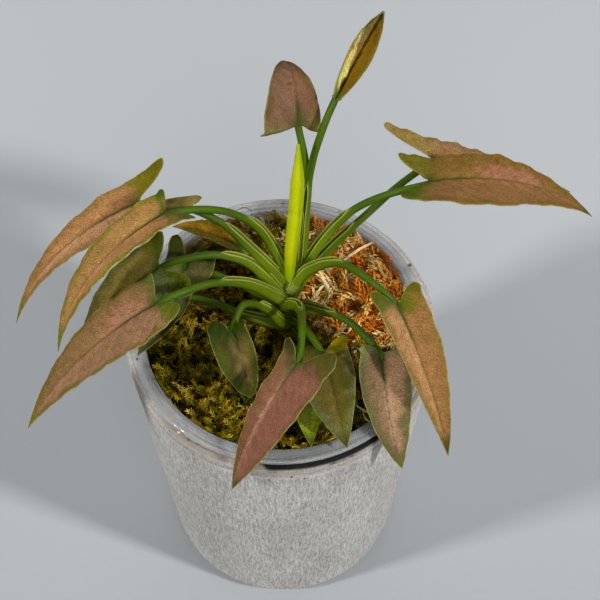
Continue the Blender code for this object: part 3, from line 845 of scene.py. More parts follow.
@dataclass(frozen=True)
class FloorFinish:
    """Plain pale studio board with a hardly visible tooth, and painted light that makes it lighter to the
    back.
    """

    name: str = "studio_floor"
    colour: Rgb = (153, 156, 158)
    painted_back_light: float = 1.36

    def build(self) -> Material:
        """Make the material.

        Returns:
            The material.
        """
        graph = Graph(self.name)
        base = linear(self.colour)
        tooth = graph.noise(graph.where(), 420.0, 3.0, 0.6)
        depth = graph.parts(graph.where())[1]
        colour = graph.mix(graph.spread(tooth, 0.3, 0.7), base * 0.985, base)
        # painted light: the floor grows lighter towards the back
        colour = graph.mix(graph.spread(depth, -0.16, 0.22), colour, base * self.painted_back_light)
        graph.surface(Base_Color=colour, Roughness=0.85, Specular_IOR_Level=0.15)
        return graph.material


@dataclass(frozen=True)
class Patch:
    """One coloured patch or spot on a blade, an ellipse with a soft edge.

    Attributes:
        centre: millimetres across (left is negative) and along from the joint.
        size: half widths across and along.
        colour: its display colour.
        strength: share of the colour in its middle.
    """

    centre: Pair
    size: Pair
    colour: Rgb
    strength: float = 0.8


@dataclass(frozen=True)
class BladePaint:
    """Display colours of one blade, before the fine mottling.

    Attributes:
        left: field left of the midrib, seen from the joint to the tip.
        right: field right of the midrib.
        margin: band along the edge.
        lobes: the (left, right) lobes behind the joint.
        tip: the last part of the blade.
        vein: the midrib's groove.
        margin_width: width of the band in millimetres.
        patches: patches and spots on top of the rest.
    """

    left: Rgb
    right: Rgb
    margin: Rgb
    lobes: tuple[Rgb, Rgb]
    tip: Rgb
    vein: Rgb
    margin_width: float = 1.8
    patches: tuple[Patch, ...] = ()


@dataclass(frozen=True)
class Leaf:
    """One leaf.  Pairs are (left, right) seen from the joint towards the tip.

    Attributes:
        name: ending of the blade's node name.
        slot: material slot of the blade.
        petiole: points that the stalk passes, heights above the rim.
        joint: where the stalk meets the blade.
        tip: the blade's point.
        arch: height of the midrib's parabola over the chord.
        sway: the same parabola's sideways share.
        roll: turn of the blade about its chord, in degrees.
        twist: further turn from joint to tip.
        fold: slope of each half, in degrees.
        width: largest width of each half.
        lobe: how far each lobe reaches behind the joint.
        spread: sideways place of each lobe's tip.
        lift: height of each lobe's tip.
        widest: share of the length where the blade is widest.
        taper: power of the fall to the tip.
        sheath: share of the stalk that carries the winged sheath.
        paint: the blade's colours.
    """

    name: str
    slot: Slot
    petiole: tuple[Point, ...]
    joint: Point
    tip: Point
    arch: float
    sway: float
    roll: float
    twist: float
    fold: Pair
    width: Pair
    lobe: Pair
    spread: Pair
    lift: Pair
    widest: float
    taper: float
    sheath: float
    paint: BladePaint


LEAVES: tuple[Leaf, ...] = (
    Leaf(
        "upright_back", Slot.PINK,
        petiole=((5, 9, 14), (6.5, 18, 29), (8.5, 24.5, 43), (11.5, 29.5, 53)),
        joint=(15, 34.5, 60), tip=(26, 36, 92), arch=-10, sway=0, roll=62, twist=-1,
        fold=(58, 57), width=(5.5, 6.5), lobe=(1, 1), spread=(1, 1), lift=(0, 0),
        widest=0.35, taper=1.9, sheath=0.51,
        paint=BladePaint(
            left=(225, 219, 127), right=(118, 91, 12), margin=(122, 107, 36),
            lobes=((113, 119, 53), (113, 119, 53)), tip=(107, 111, 49), vein=(150, 84, 50), margin_width=1.2,
            patches=(
                Patch((-1, 2.5), (0.8, 1.3), (58, 40, 8)),
                Patch((-2.2, 14), (1.3, 9), (206, 132, 84), 0.5),
            ),
        ),
    ),
    Leaf(
        "arrow_back", Slot.PINK,
        petiole=((4.5, 10, 14), (6, 18, 29), (7, 24.5, 41)),
        joint=(5, 31, 52), tip=(1, 50, 55), arch=7.5, sway=0, roll=5, twist=11,
        fold=(6, 0), width=(9.5, 6), lobe=(3, 3), spread=(9, 6), lift=(-3.5, 0),
        widest=0.05, taper=1.5, sheath=0.45,
        paint=BladePaint(
            left=(110, 83, 65), right=(106, 76, 57), margin=(89, 70, 41),
            lobes=((113, 109, 58), (104, 101, 51)), tip=(108, 107, 63), vein=(86, 66, 44),
            patches=(
                Patch((-1.6, 8.4), (0.8, 0.5), (76, 44, 22), 0.7),
                Patch((1.4, 13), (0.5, 0.4), (90, 56, 30), 0.6),
            ),
        ),
    ),
    Leaf(
        "right_upper", Slot.PINK,
        petiole=((4.5, 8, 13), (11, 14, 22), (19, 17.5, 31), (28, 17.5, 39)),
        joint=(39.5, 20, 42), tip=(84.5, 18, 28), arch=8, sway=2.5, roll=-16, twist=3,
        fold=(9, 9), width=(9, 13.5), lobe=(8.5, 7), spread=(9, 4.5), lift=(2.5, -0.5),
        widest=0.3, taper=1.1, sheath=0.51,
        paint=BladePaint(
            left=(119, 91, 42), right=(140, 102, 61), margin=(116, 87, 35),
            lobes=((99, 99, 26), (80, 100, 16)), tip=(57, 71, 13), vein=(70, 82, 30), margin_width=2.4,
            patches=(
                Patch((-1.5, 20), (3.2, 9.5), (162, 106, 88), 0.6),
                Patch((-6, 16.5), (1.2, 0.7), (98, 56, 14)),
            ),
        ),
    ),
    Leaf(
        "right_rear", Slot.OLIVE,
        petiole=((5, 8.5, 10), (13.5, 15, 17), (23, 20, 25), (32.5, 27.5, 29)),
        joint=(42, 34.5, 31), tip=(82, 36, 13), arch=0.5, sway=1, roll=-15, twist=8,
        fold=(1, 2), width=(9.5, 9), lobe=(14.5, 6), spread=(8, 7), lift=(1.5, 0),
        widest=0.1, taper=1.7, sheath=0.47,
        paint=BladePaint(
            left=(158, 116, 77), right=(132, 113, 69), margin=(129, 101, 70),
            lobes=((151, 125, 65), (113, 114, 58)), tip=(113, 111, 55), vein=(86, 66, 44), margin_width=2,
        ),
    ),
    Leaf(
        "right_front", Slot.PINK,
        petiole=((3, 6, 11), (8, 7.5, 18), (16, 4.5, 26), (25, -4.5, 30)),
        joint=(31, -9.5, 28), tip=(45.5, -38.5, -4), arch=4, sway=0, roll=-3, twist=2,
        fold=(20, 21), width=(7.5, 6.5), lobe=(3.5, 5.5), spread=(6, 6), lift=(0, -0.5),
        widest=0.1, taper=1.5, sheath=0.50,
        paint=BladePaint(
            left=(133, 96, 57), right=(162, 121, 80), margin=(115, 94, 43),
            lobes=((80, 79, 8), (71, 85, 20)), tip=(33, 49, 14), vein=(84, 82, 34),
            patches=(Patch((-2.6, 0.5), (2.6, 3.2), (84, 92, 2), 0.85),),
        ),
    ),
    Leaf(
        "front_right", Slot.OLIVE,
        petiole=((3, 4, 4), (11.5, -1, 10), (19, -6.5, 13)),
        joint=(27, -17, 15), tip=(33.5, -38, -13), arch=5, sway=1.5, roll=3, twist=5,
        fold=(14, 14), width=(7.5, 7), lobe=(1, 2.5), spread=(7, 4), lift=(0, -0.5),
        widest=0.15, taper=1.5, sheath=0.46,
        paint=BladePaint(
            left=(155, 120, 90), right=(124, 98, 71), margin=(90, 86, 51),
            lobes=((87, 102, 55), (119, 124, 72)), tip=(100, 118, 8), vein=(96, 74, 50), margin_width=2.6,
            patches=(Patch((0, 15), (0.9, 11), (184, 148, 122), 0.5),),
        ),
    ),
    Leaf(
        "front", Slot.PINK,
        petiole=((1.5, 2, 8), (5, -2, 14), (6, -11.5, 19)),
        joint=(4.5, -23, 20), tip=(-13, -46.5, -8), arch=5, sway=-1, roll=14, twist=2,
        fold=(13, 10), width=(12, 5), lobe=(7.5, 4.5), spread=(8, 5), lift=(-1.5, 2),
        widest=0.05, taper=1.7, sheath=0.38,
        paint=BladePaint(
            left=(133, 89, 71), right=(112, 77, 56), margin=(104, 78, 48),
            lobes=((75, 75, 29), (35, 50, 10)), tip=(57, 69, 30), vein=(176, 134, 110), margin_width=1.3,
            patches=(Patch((0, 17), (0.7, 14), (180, 132, 104), 0.4),),
        ),
    ),
    Leaf(
        "front_inner", Slot.OLIVE,
        petiole=((3, 1.5, 1), (7, -5, 7)),
        joint=(11.5, -14, 10), tip=(18, -39.5, 3), arch=6.5, sway=0.5, roll=1, twist=2,
        fold=(0, 8), width=(7, 9), lobe=(7.5, 6.5), spread=(7, 4.5), lift=(-0.5, -1.5),
        widest=0.15, taper=1.9, sheath=0.40,
        paint=BladePaint(
            left=(88, 78, 27), right=(97, 84, 37), margin=(90, 95, 54),
            lobes=((180, 159, 22), (61, 67, 10)), tip=(67, 63, 22), vein=(56, 52, 22), margin_width=2.4,
        ),
    ),
    Leaf(
        "front_small", Slot.GREEN,
        petiole=((3.5, 0, -3), (7.5, -6.5, -0.5)),
        joint=(10.5, -17, 4), tip=(8.5, -38.5, 1.5), arch=2, sway=1, roll=4, twist=1,
        fold=(9, 9), width=(6, 7), lobe=(3, 3), spread=(3, 3), lift=(0, 0),
        widest=0.1, taper=1.6, sheath=0.40,
        paint=BladePaint(
            left=(164, 186, 47), right=(148, 152, 49), margin=(131, 147, 29),
            lobes=((83, 99, 45), (83, 99, 45)), tip=(40, 50, 8), vein=(110, 128, 50), margin_width=1.6,
        ),
    ),
    Leaf(
        "left_inner", Slot.OLIVE,
        petiole=((0.5, 0, 2), (-4.5, -0.5, 11), (-10, -3.5, 17)),
        joint=(-13, -11, 16), tip=(-8, -22.5, -1), arch=3.5, sway=-0.5, roll=7, twist=2,
        fold=(24, 17), width=(4.5, 7), lobe=(1.5, 4), spread=(4, 3.5), lift=(0, 0),
        widest=0.15, taper=1.9, sheath=0.45,
        paint=BladePaint(
            left=(96, 82, 39), right=(63, 60, 25), margin=(63, 71, 19),
            lobes=((45, 71, 9), (36, 51, 17)), tip=(87, 102, 48), vein=(96, 82, 54), margin_width=2.4,
            patches=(Patch((0.4, 7.5), (1.8, 7), (124, 98, 62), 0.5),),
        ),
    ),
    Leaf(
        "left_low", Slot.PINK,
        petiole=((1, 3, 9), (-8, 1.5, 20), (-17, -3, 28), (-26, -8.5, 32)),
        joint=(-32, -11.5, 32), tip=(-67.5, -34, 4), arch=5, sway=0, roll=14, twist=-1,
        fold=(13, 8), width=(12, 9), lobe=(5, 2.5), spread=(5.5, 8), lift=(0, 1),
        widest=0.15, taper=1.4, sheath=0.53,
        paint=BladePaint(
            left=(152, 115, 83), right=(126, 98, 61), margin=(102, 88, 42),
            lobes=((88, 104, 17), (79, 94, 33)), tip=(117, 109, 20), vein=(92, 78, 36), margin_width=1.6,
            patches=(Patch((1, 9), (4.5, 8), (164, 114, 92), 0.5),),
        ),
    ),
    Leaf(
        "left_middle", Slot.OLIVE,
        petiole=((0.3, 4.7, 10.3), (-8, 7.5, 21), (-17.5, 7, 26), (-27, 5, 26.5)),
        joint=(-32.5, 4.5, 24), tip=(-55, -7.5, 2), arch=4, sway=0, roll=0, twist=-2,
        fold=(4, 6), width=(12, 8), lobe=(5.5, 5.5), spread=(8.5, 7.5), lift=(-0.5, 1),
        widest=0.15, taper=1.6, sheath=0.53,
        paint=BladePaint(
            left=(113, 130, 73), right=(117, 101, 45), margin=(78, 74, 32),
            lobes=((87, 99, 17), (79, 83, 19)), tip=(113, 113, 51), vein=(86, 74, 30), margin_width=2.6,
        ),
    ),
    Leaf(
        "left_top", Slot.PINK,
        petiole=((1.5, 7, 11), (-8, 10, 25), (-16, 13, 33), (-26.5, 15.5, 37)),
        joint=(-37.5, 16, 38), tip=(-72.5, -4, 8), arch=7.5, sway=1, roll=4, twist=3,
        fold=(17, 6), width=(8.5, 7), lobe=(15.5, 10.5), spread=(8, 7), lift=(-0.5, 3),
        widest=0.05, taper=1.1, sheath=0.52,
        paint=BladePaint(
            left=(180, 135, 96), right=(155, 112, 69), margin=(127, 100, 49),
            lobes=((124, 113, 57), (93, 91, 11)), tip=(101, 114, 8), vein=(110, 84, 44),
            patches=(Patch((-5, -8), (1.2, 0.8), (58, 56, 12), 0.7),),
        ),
    ),
    Leaf(
        "left_upper", Slot.PINK,
        petiole=((2.5, 8, 13), (-4, 13.5, 26), (-12, 13.5, 36), (-21, 10.5, 43)),
        joint=(-29.5, 7.5, 46), tip=(-59.5, -16, 14), arch=7, sway=0, roll=21, twist=-6,
        fold=(18, 7), width=(8, 7.5), lobe=(6, 2.5), spread=(7.5, 7), lift=(-2.5, 0),
        widest=0.1, taper=1.7, sheath=0.49,
        paint=BladePaint(
            left=(176, 128, 79), right=(157, 120, 68), margin=(116, 105, 28),
            lobes=((86, 92, 36), (58, 87, 8)), tip=(101, 117, 23), vein=(104, 84, 42),
            patches=(Patch((-6.4, 24), (1.2, 11), (112, 138, 10), 0.7),),
        ),
    ),
    Leaf(
        "back_left", Slot.OLIVE,
        petiole=((1, 8.5, 5), (-5.5, 17, 6)),
        joint=(-11.5, 21, 8), tip=(-31, 29.5, 5), arch=4, sway=-1.5, roll=4, twist=-5,
        fold=(18, 10), width=(3, 5), lobe=(3, 3), spread=(2, 2), lift=(0, 0),
        widest=0.1, taper=1.7, sheath=0.40,
        paint=BladePaint(
            left=(138, 112, 49), right=(173, 128, 28), margin=(141, 121, 29),
            lobes=((145, 155, 61), (92, 101, 47)), tip=(97, 101, 50), vein=(120, 96, 50),
        ),
    ),
    Leaf(
        "left_dark", Slot.GREEN,
        petiole=((1, 4, 5), (-8.5, 5, 12), (-18, 7.5, 15)),
        joint=(-25.5, 11, 16), tip=(-33, 3, 11), arch=2.5, sway=-1.5, roll=-11, twist=0,
        fold=(8, 11), width=(8, 6), lobe=(5, 7.5), spread=(3, 5.5), lift=(0, 0.5),
        widest=0.1, taper=1.6, sheath=0.45,
        paint=BladePaint(
            left=(108, 102, 56), right=(94, 100, 49), margin=(87, 98, 47),
            lobes=((35, 49, 11), (55, 56, 17)), tip=(92, 98, 49), vein=(60, 58, 24),
        ),
    ),
    Leaf(
        "left_small", Slot.GREEN,
        petiole=((-1, 0.8, 0.6), (-10, 2, 2.5), (-19, 5.5, 3)),
        joint=(-29.5, 7.5, 5), tip=(-39.5, -11, 2), arch=1.5, sway=-1, roll=-5, twist=0,
        fold=(8, 8), width=(5, 7), lobe=(4, 5), spread=(2.5, 4.5), lift=(0, 0),
        widest=0.1, taper=1.6, sheath=0.40,
        paint=BladePaint(
            left=(94, 101, 58), right=(90, 101, 53), margin=(36, 36, 10),
            lobes=((82, 98, 47), (83, 98, 48)), tip=(76, 76, 58), vein=(58, 62, 28),
        ),
    ),
)


@dataclass(frozen=True)
class BladeGrid:
    """How finely a blade is cut, and how its relief is sized, in millimetres.

    A gap is a distance from crest to crest, blunt the radius that rounds a lobe's tip,
    and uneven how far the outline wanders.
    """

    lobe_steps: int = 12
    blade_steps: int = 60
    strips: int = 14
    half_thickness: float = 0.2
    edge_thickness: float = 0.09
    rib: float = 0.45
    groove: float = 0.2
    quilt: float = 0.07
    quilt_gap: float = 3.6
    ruffle: float = 0.35
    ruffle_gap: float = 7.0
    lobe_roundness: float = 0.7
    sinus_curve: float = 0.8
    blunt: float = 1.3
    uneven: float = 0.3
    joint_green: Rgb = (30, 62, 16)
    # painted highlight along the blade's edge
    painted_edge_highlight: Rgb = (176, 164, 96)
    under_green: Rgb = (104, 118, 66)


class Midrib:
    """The curve that carries one blade, with its own axes.

    The midrib is a parabola over the chord from joint to tip, raised by arch and
    bent sideways by sway.  Behind the joint it runs straight on along its tangent.
    """

    def __init__(self, leaf: Leaf) -> None:
        """Set up the chord and its normal.

        Args:
            leaf: the leaf that it belongs to.
        """
        self.leaf = leaf
        self.joint = above_floor(leaf.joint)
        span = above_floor(leaf.tip) - self.joint
        self.length = float(np.linalg.norm(span))
        self.chord = span / self.length
        side = unit(np.cross(self.chord, (0.0, 0.0, 1.0)))
        normal = np.cross(side, self.chord)
        roll = math.radians(leaf.roll)
        self.side = math.cos(roll) * side - math.sin(roll) * normal
        self.normal = math.cos(roll) * normal + math.sin(roll) * side

    def at(self, share: Array) -> tuple[Array, Array, Array]:
        """Points, sides and normals along the midrib.

        Args:
            share: places as shares of the blade's length, negative behind the joint.

        Returns:
            Three (n, 3) arrays.
        """
        ahead = np.clip(share, 0, 1)[:, None]
        bend = self.leaf.arch * self.normal + self.leaf.sway * self.side
        tangents = unit(self.length * self.chord + 4 * (1 - 2 * ahead) * bend)
        forward = self.joint + share[:, None] * self.length * self.chord + 4 * ahead * (1 - ahead) * bend
        behind = self.joint + share[:, None] * self.length * tangents
        points = np.where(share[:, None] < 0, behind, forward)
        normals = unit(self.normal - (tangents @ self.normal)[:, None] * tangents)
        sides = np.cross(tangents, normals)
        turn = np.radians(self.leaf.twist) * ahead
        return (
            points,
            np.cos(turn) * sides - np.sin(turn) * normals,
            np.cos(turn) * normals + np.sin(turn) * sides,
        )


@dataclass
class BladeBuilder:
    """Makes one leaf blade as a thin closed shell.

    Attributes:
        leaf: its shape and colours.
        grid: how finely it is cut.
        seed: picks its waves.
    """

    leaf: Leaf
    grid: BladeGrid
    seed: int

    def __post_init__(self) -> None:
        """Lay out the midrib."""
        self.midrib = Midrib(self.leaf)

    def half(self, hand: int) -> tuple[Array, Array]:
        """Grid of one half: its mid-surface and its leaf coordinates.

        The outer edge rises from the lobe's tip to the widest place along a sine and
        falls to the tip along a power curve.  The inner edge is the midrib and, behind
        the joint, the edge of the sinus.  A quarter circle from the lobe's tip onwards
        moves both edges outwards from each other, which rounds the tip.  The ruffle is
        two sine waves along the edge that grow with the cube of the share across.

        Args:
            hand: 0 for the left half, 1 for the right.

        Returns:
            (rows, columns, 3) points, and the same grid of millimetres across,
            along and from the edge.
        """
        leaf, grid, length = self.leaf, self.grid, self.midrib.length
        sign = (-1.0, 1.0)[hand]
        width, lobe, spread = leaf.width[hand], leaf.lobe[hand], leaf.spread[hand]
        back = -lobe * np.cos(np.linspace(0, np.pi / 2, grid.lobe_steps + 1))[:-1]
        places = np.concatenate([back, length * np.linspace(0, 1, grid.blade_steps + 1)])
        widest = leaf.widest * length
        rise = np.clip((places + lobe) / (widest + lobe), 0, 1) ** grid.lobe_roundness
        fall = np.clip((places - widest) / (length - widest), 0, 1) ** leaf.taper
        before = spread + (width - spread) * np.sin(np.pi / 2 * rise)
        outer = np.where(places < widest, before, width * (1 - fall))
        behind = np.clip(-places / lobe, 0, 1)
        inset = 1 - np.clip(lobe * (1 - behind) / grid.blunt, 0, 1)
        blunt = grid.blunt * np.sqrt(1 - inset**2) * smooth(behind / 0.7)
        inner = spread * behind**grid.sinus_curve - blunt
        spots = np.stack([places, np.full_like(places, 20.0 * hand), np.zeros_like(places)], axis=-1)
        uneven = grid.uneven * drift(spots, 9.0, 70 + self.seed) * np.clip(1 - places / length, 0, 1)
        outer = outer + 0.8 * blunt + np.where(places > 0, uneven * smooth(places / 4.0), 0.0)
        share = 0.5 - 0.5 * np.cos(np.pi * np.linspace(0, 1, grid.strips + 1))
        across = inner[:, None] + (outer - inner)[:, None] * share
        points, sides, normals = self.midrib.at(places / length)
        slope = math.radians(leaf.fold[hand])
        phase = 2 * np.pi * (places / (grid.ruffle_gap + 2.0 * hand) + 0.37 * self.seed)
        wave = grid.ruffle * np.sin(phase) + 0.4 * grid.ruffle * np.sin(2.3 * phase)
        taper = np.clip(outer / width, 0, 1)
        up = math.sin(slope) * across + (leaf.lift[hand] * behind**2)[:, None]
        up = up + (wave * taper)[:, None] * share**3
        out = sign * math.cos(slope) * across
        surface = points[:, None] + out[..., None] * sides[:, None] + up[..., None] * normals[:, None]
        to_sinus = np.where(places[:, None] < 0, across - inner[:, None], FAR)
        edge = np.minimum(outer[:, None] - across, to_sinus)
        leafwise = np.stack([sign * across, np.broadcast_to(places[:, None], across.shape), edge], axis=-1)
        return surface, leafwise

    def tint(self, points: Array, leafwise: Array) -> Array:
        """Colours of the blade's zones, mixed from its paint.

        The two fields meet at the midrib, and a painted highlight lightens a band beside it.
        Margin, lobes, tip and patches lie over them with smooth borders that wander, and then
        the joint, the midrib's groove and a painted highlight along the edge, each by a Gaussian
        or a smooth step of its distance.

        Args:
            points: positions in millimetres.
            leafwise: millimetres across, along and from the edge.

        Returns:
            (n, 3) linear colours.
        """
        paint, length = self.leaf.paint, self.midrib.length
        across, along, edge = leafwise.T
        wander = drift(points, 9.0, self.seed)
        fine = drift(points, 3.5, self.seed + 100)
        to_right = smooth(0.5 + across / 1.4)
        colour = blend(linear(paint.left), linear(paint.right), to_right)
        # painted highlight in a band beside the midrib's groove, up to 14% brighter
        colour = blend(colour, colour * 1.14, bell(np.abs(across) - 1.2, 1.0))
        band = smooth(1.25 - edge / paint.margin_width + 0.4 * wander + 0.25 * fine)
        lobes = blend(linear(paint.lobes[0]), linear(paint.lobes[1]), to_right)
        ending = smooth((along / length - 0.8 + 0.05 * wander - 0.02 * np.minimum(edge, 3.0)) / 0.16)
        layers = [
            (linear(paint.margin), 0.9 * band),
            (lobes, smooth((2.6 + 1.2 * fine - along) / 5.0)),
            (linear(paint.tip), ending),
        ]
        for patch in paint.patches:
            x = (across - patch.centre[0]) / patch.size[0]
            y = (along - patch.centre[1]) / patch.size[1]
            inside = smooth((1.25 - np.hypot(x, y) + 0.2 * fine) / 0.6)
            layers.append((linear(patch.colour), patch.strength * inside))
        reach = np.hypot(across, along * np.where(along > 0, 0.75, 1.0))
        line = bell(across, 0.38) * np.clip(1.0 - 0.6 * along / length, 0, 1) * (along > 0)
        rachis = bell(across, 0.5) * smooth((0.3 - along / length) / 0.15) * (along > 0)
        green = linear(self.grid.joint_green)
        layers += [
            (green, 0.92 * bell(reach, 2.0)),
            (linear(paint.vein), 0.7 * line),
            (green, 0.75 * rachis),
            # painted highlight along the blade's edge
            (linear(self.grid.painted_edge_highlight), 0.45 * smooth(1.0 - edge / 0.28)),
        ]
        mottling = (1.0 + 0.06 * wander + 0.08 * fine)[:, None]
        return np.clip(layered(colour, layers) * mottling, 0.003, 1.0)

    def skin(self) -> Skin:
        """Close the two halves into one thin shell.

        The top sinks along the midrib and the lateral veins; a rib runs under the
        midrib; the sheet thins towards its edge.

        Returns:
            The blade's surface.
        """
        grid = self.grid
        points, faces, leafwise, offset = [], [], [], 0
        for hand in (0, 1):
            surface, coordinates = self.half(hand)
            rows, columns = surface.shape[:2]
            pair = offset + sheet_faces(rows, columns)
            faces.append(pair[:, ::-1] if hand == 0 else pair)
            points.append(surface.reshape(-1, 3))
            leafwise.append(coordinates.reshape(-1, 3))
            offset += rows * columns
        sheet, kept, triangles = welded(np.concatenate(points), np.concatenate(faces))
        coordinates = np.concatenate(leafwise)[kept]
        normals = point_normals(sheet, triangles)
        across, along, edge = coordinates.T
        body = grid.edge_thickness + (grid.half_thickness - grid.edge_thickness) * smooth(edge / 0.9)
        fade = np.clip(1.0 - along / self.midrib.length, 0, 1) * (along > 0)
        wave = np.cos(2 * np.pi * (along - 1.05 * np.abs(across)) / grid.quilt_gap)
        quilt = grid.quilt * wave * smooth(edge / 2.0)
        top = body - grid.groove * bell(across, 0.5) * fade**0.5 + quilt
        under = body + grid.rib * bell(across, 0.55) * fade**0.5 - quilt
        colour = self.tint(sheet, coordinates)
        beneath = blend(colour, linear(grid.under_green), np.full(len(sheet), 0.45))
        return Skin(
            np.concatenate([sheet + top[:, None] * normals, sheet - under[:, None] * normals]),
            shell_faces(triangles, len(sheet)),
            np.concatenate([colour, beneath]),
            np.concatenate([coordinates, coordinates]),
        )


@dataclass(frozen=True)
class StalkShape:
    """Sizes and colours of the stem and the petioles, in millimetres.

    The slit of a sheath lies between two lips, slit_half to each side of its middle.
    A pair of radii is at the foot and at the top.
    """

    stem_path: tuple[Point, ...] = (
        (1.7, -0.3, -21.0), (1.7, 0.0, -6.0), (2.0, 2.6, 6.0), (2.2, 3.6, 9.6)
    )
    stem_radius: Pair = (3.0, 1.5)
    radius: Pair = (1.15, 0.95)
    sheath_width: float = 2.5
    sheath_height: float = 1.75
    slit_half: float = 0.55
    slit_depth: float = 0.42
    lip: float = 0.42
    lip_half: float = 0.2
    rooting: float = 2.0
    sides: int = 38
    rings: int = 84
    stem_sides: int = 32
    stem_rings: int = 24
    stem_foot: Rgb = (48, 46, 12)
    stem_top: Rgb = (66, 78, 6)
    heel: Rgb = (104, 112, 40)
    sheath: Rgb = (90, 108, 2)
    stalk: Rgb = (62, 88, 0)
    neck: Rgb = (34, 58, 2)
    lip_edge: Rgb = (192, 188, 92)
    slit_floor: Rgb = (84, 100, 6)


@dataclass(frozen=True)
class CrownBuilder:
    """Makes the short stem and every petiole with its winged sheath."""

    shape: StalkShape

    def route(self, leaf: Leaf) -> Array:
        """Centre line of one petiole, from the stem's axis to under the blade's joint.

        Its last three points close in on the midrib from below.

        Args:
            leaf: whose petiole it is.

        Returns:
            (rings, 3) points.
        """
        axis = above_floor(self.shape.stem_path)
        level = leaf.petiole[0][2] - self.shape.rooting + RIM_TOP
        start = [*(np.interp(level, axis[:, 2], axis[:, i]) for i in (0, 1)), level]
        midrib = Midrib(leaf)
        ends, _, normals = midrib.at(np.array([0.0, 2.2, 5.0]) / midrib.length)
        ends = ends - np.array([0.9, 0.75, 0.5])[:, None] * normals
        return smooth_path(np.concatenate([[start], above_floor(leaf.petiole), ends]), self.shape.rings)

    def sections(self, sheath_end: float) -> tuple[Array, Array]:
        """Rings of one petiole, and how much each point belongs to a lip.

        A ring is an ellipse.  Over the sheath a narrow slit sinks in its top between
        two Gaussian lips, which draw together into one rounded tip where it ends.
        The ring's points stand closer at the top.

        Args:
            sheath_end: share of the length that the sheath covers.

        Returns:
            (rings, sides, 2) offsets, and (rings, sides) lip shares.
        """
        shape = self.shape
        along = np.linspace(0, 1, shape.rings)[:, None]
        angles = self.angles()
        done = along / sheath_end
        sheath = np.clip(1 - done, 0, 1) ** 0.75
        stalk = shape.radius[0] + (shape.radius[1] - shape.radius[0]) * along
        stalk = stalk * (1 - 0.62 * smooth((along - 0.9) / 0.1))
        root = 0.7 + 0.3 * smooth(along / 0.06)
        width = (stalk + (shape.sheath_width - stalk) * sheath) * root
        height = (stalk + (shape.sheath_height - stalk) * sheath) * root
        open_part = smooth((0.98 - done) / 0.08) * smooth(along / 0.03)
        slit = shape.slit_half * np.sqrt(np.clip((1.0 - done) / 0.09, 0, 1))
        slit = slit * (0.6 + 0.4 * smooth(done / 0.5))
        place = np.abs(width * np.cos(angles))
        top = np.sin(angles) > 0
        ridge = bell(place - slit, shape.lip_half) * top * smooth((1.03 - done) / 0.03)
        sink = bell(place, 0.8 * shape.slit_half) * top * open_part
        lip = shape.lip * (1 + 0.7 * smooth((done - 0.6) / 0.4))
        depth = shape.slit_depth * (0.6 + 0.4 * sheath)
        rise = height * np.sin(angles) + lip * ridge * root - depth * sink * root
        return np.stack([width * np.cos(angles), rise], axis=-1), ridge

    def angles(self) -> Array:
        """Angles of a ring's points: even ones, drawn towards the top by a cosine."""
        even = round_angles(self.shape.sides)
        return even + 0.6 * np.cos(even)

    def petiole(self, leaf: Leaf, seed: int) -> Skin:
        """One petiole, whose colours run from its heel through sheath and stalk to its neck, with painted
        shade on its underside.

        Args:
            leaf: whose petiole it is.
            seed: picks its slow colour changes.

        Returns:
            Its surface.
        """
        shape = self.shape
        path = self.route(leaf)
        sections, ridge = self.sections(leaf.sheath)
        points, faces, share = sweep(path, sections)
        ridges = with_hubs(ridge)
        angles = with_hubs(np.tile(self.angles(), shape.rings))
        length = float(np.linalg.norm(np.diff(path, axis=0), axis=1).sum())
        done = share / leaf.sheath
        slit = bell(np.cos(angles), 0.3) * (np.sin(angles) > 0) * (share < 0.93 * leaf.sheath)
        layers = [
            (linear(shape.stalk), smooth((done - 0.45) / 0.7)),
            (linear(shape.neck), smooth((share - 0.78) / 0.2)),
            (linear(shape.heel), smooth((0.16 - share) / 0.14) * 0.5),
            (linear(shape.slit_floor), 0.8 * slit),
            (linear(shape.lip_edge), (0.4 + 0.5 * smooth(done * 1.4)) * ridges**2),
        ]
        # painted shade: the underside of each petiole is up to 25% darker
        under = smooth(-np.sin(angles) * 1.2)
        colour = layered(linear(shape.sheath), layers) * (1.0 - 0.25 * under)[:, None]
        colour = colour * (1.0 + 0.12 * drift(points, 12.0, seed))[:, None]
        return Skin(points, faces, np.clip(colour, 0, 1), stalk_place(angles, share * length))

    def stem(self) -> Skin:
        """The short stem, pale where the sheaths leave it.

        Returns:
            Its surface.
        """
        shape = self.shape
        path = smooth_path(above_floor(shape.stem_path), shape.stem_rings)
        radii = np.linspace(*shape.stem_radius, shape.stem_rings)[:, None, None]
        points, faces, share = sweep(path, radii * on_circle(round_angles(shape.stem_sides)))
        colour = blend(linear(shape.stem_foot), linear(shape.stem_top), smooth((share - 0.6) / 0.35))
        return Skin(points, faces, colour, points * np.array([1.0, 1.0, 0.3]))

    def skin(self, leaves: tuple[Leaf, ...]) -> Skin:
        """Stem and petioles of all leaves together, as separate shells."""
        return Skin.joined([self.stem()] + [self.petiole(leaf, 40 + i) for i, leaf in enumerate(leaves)])


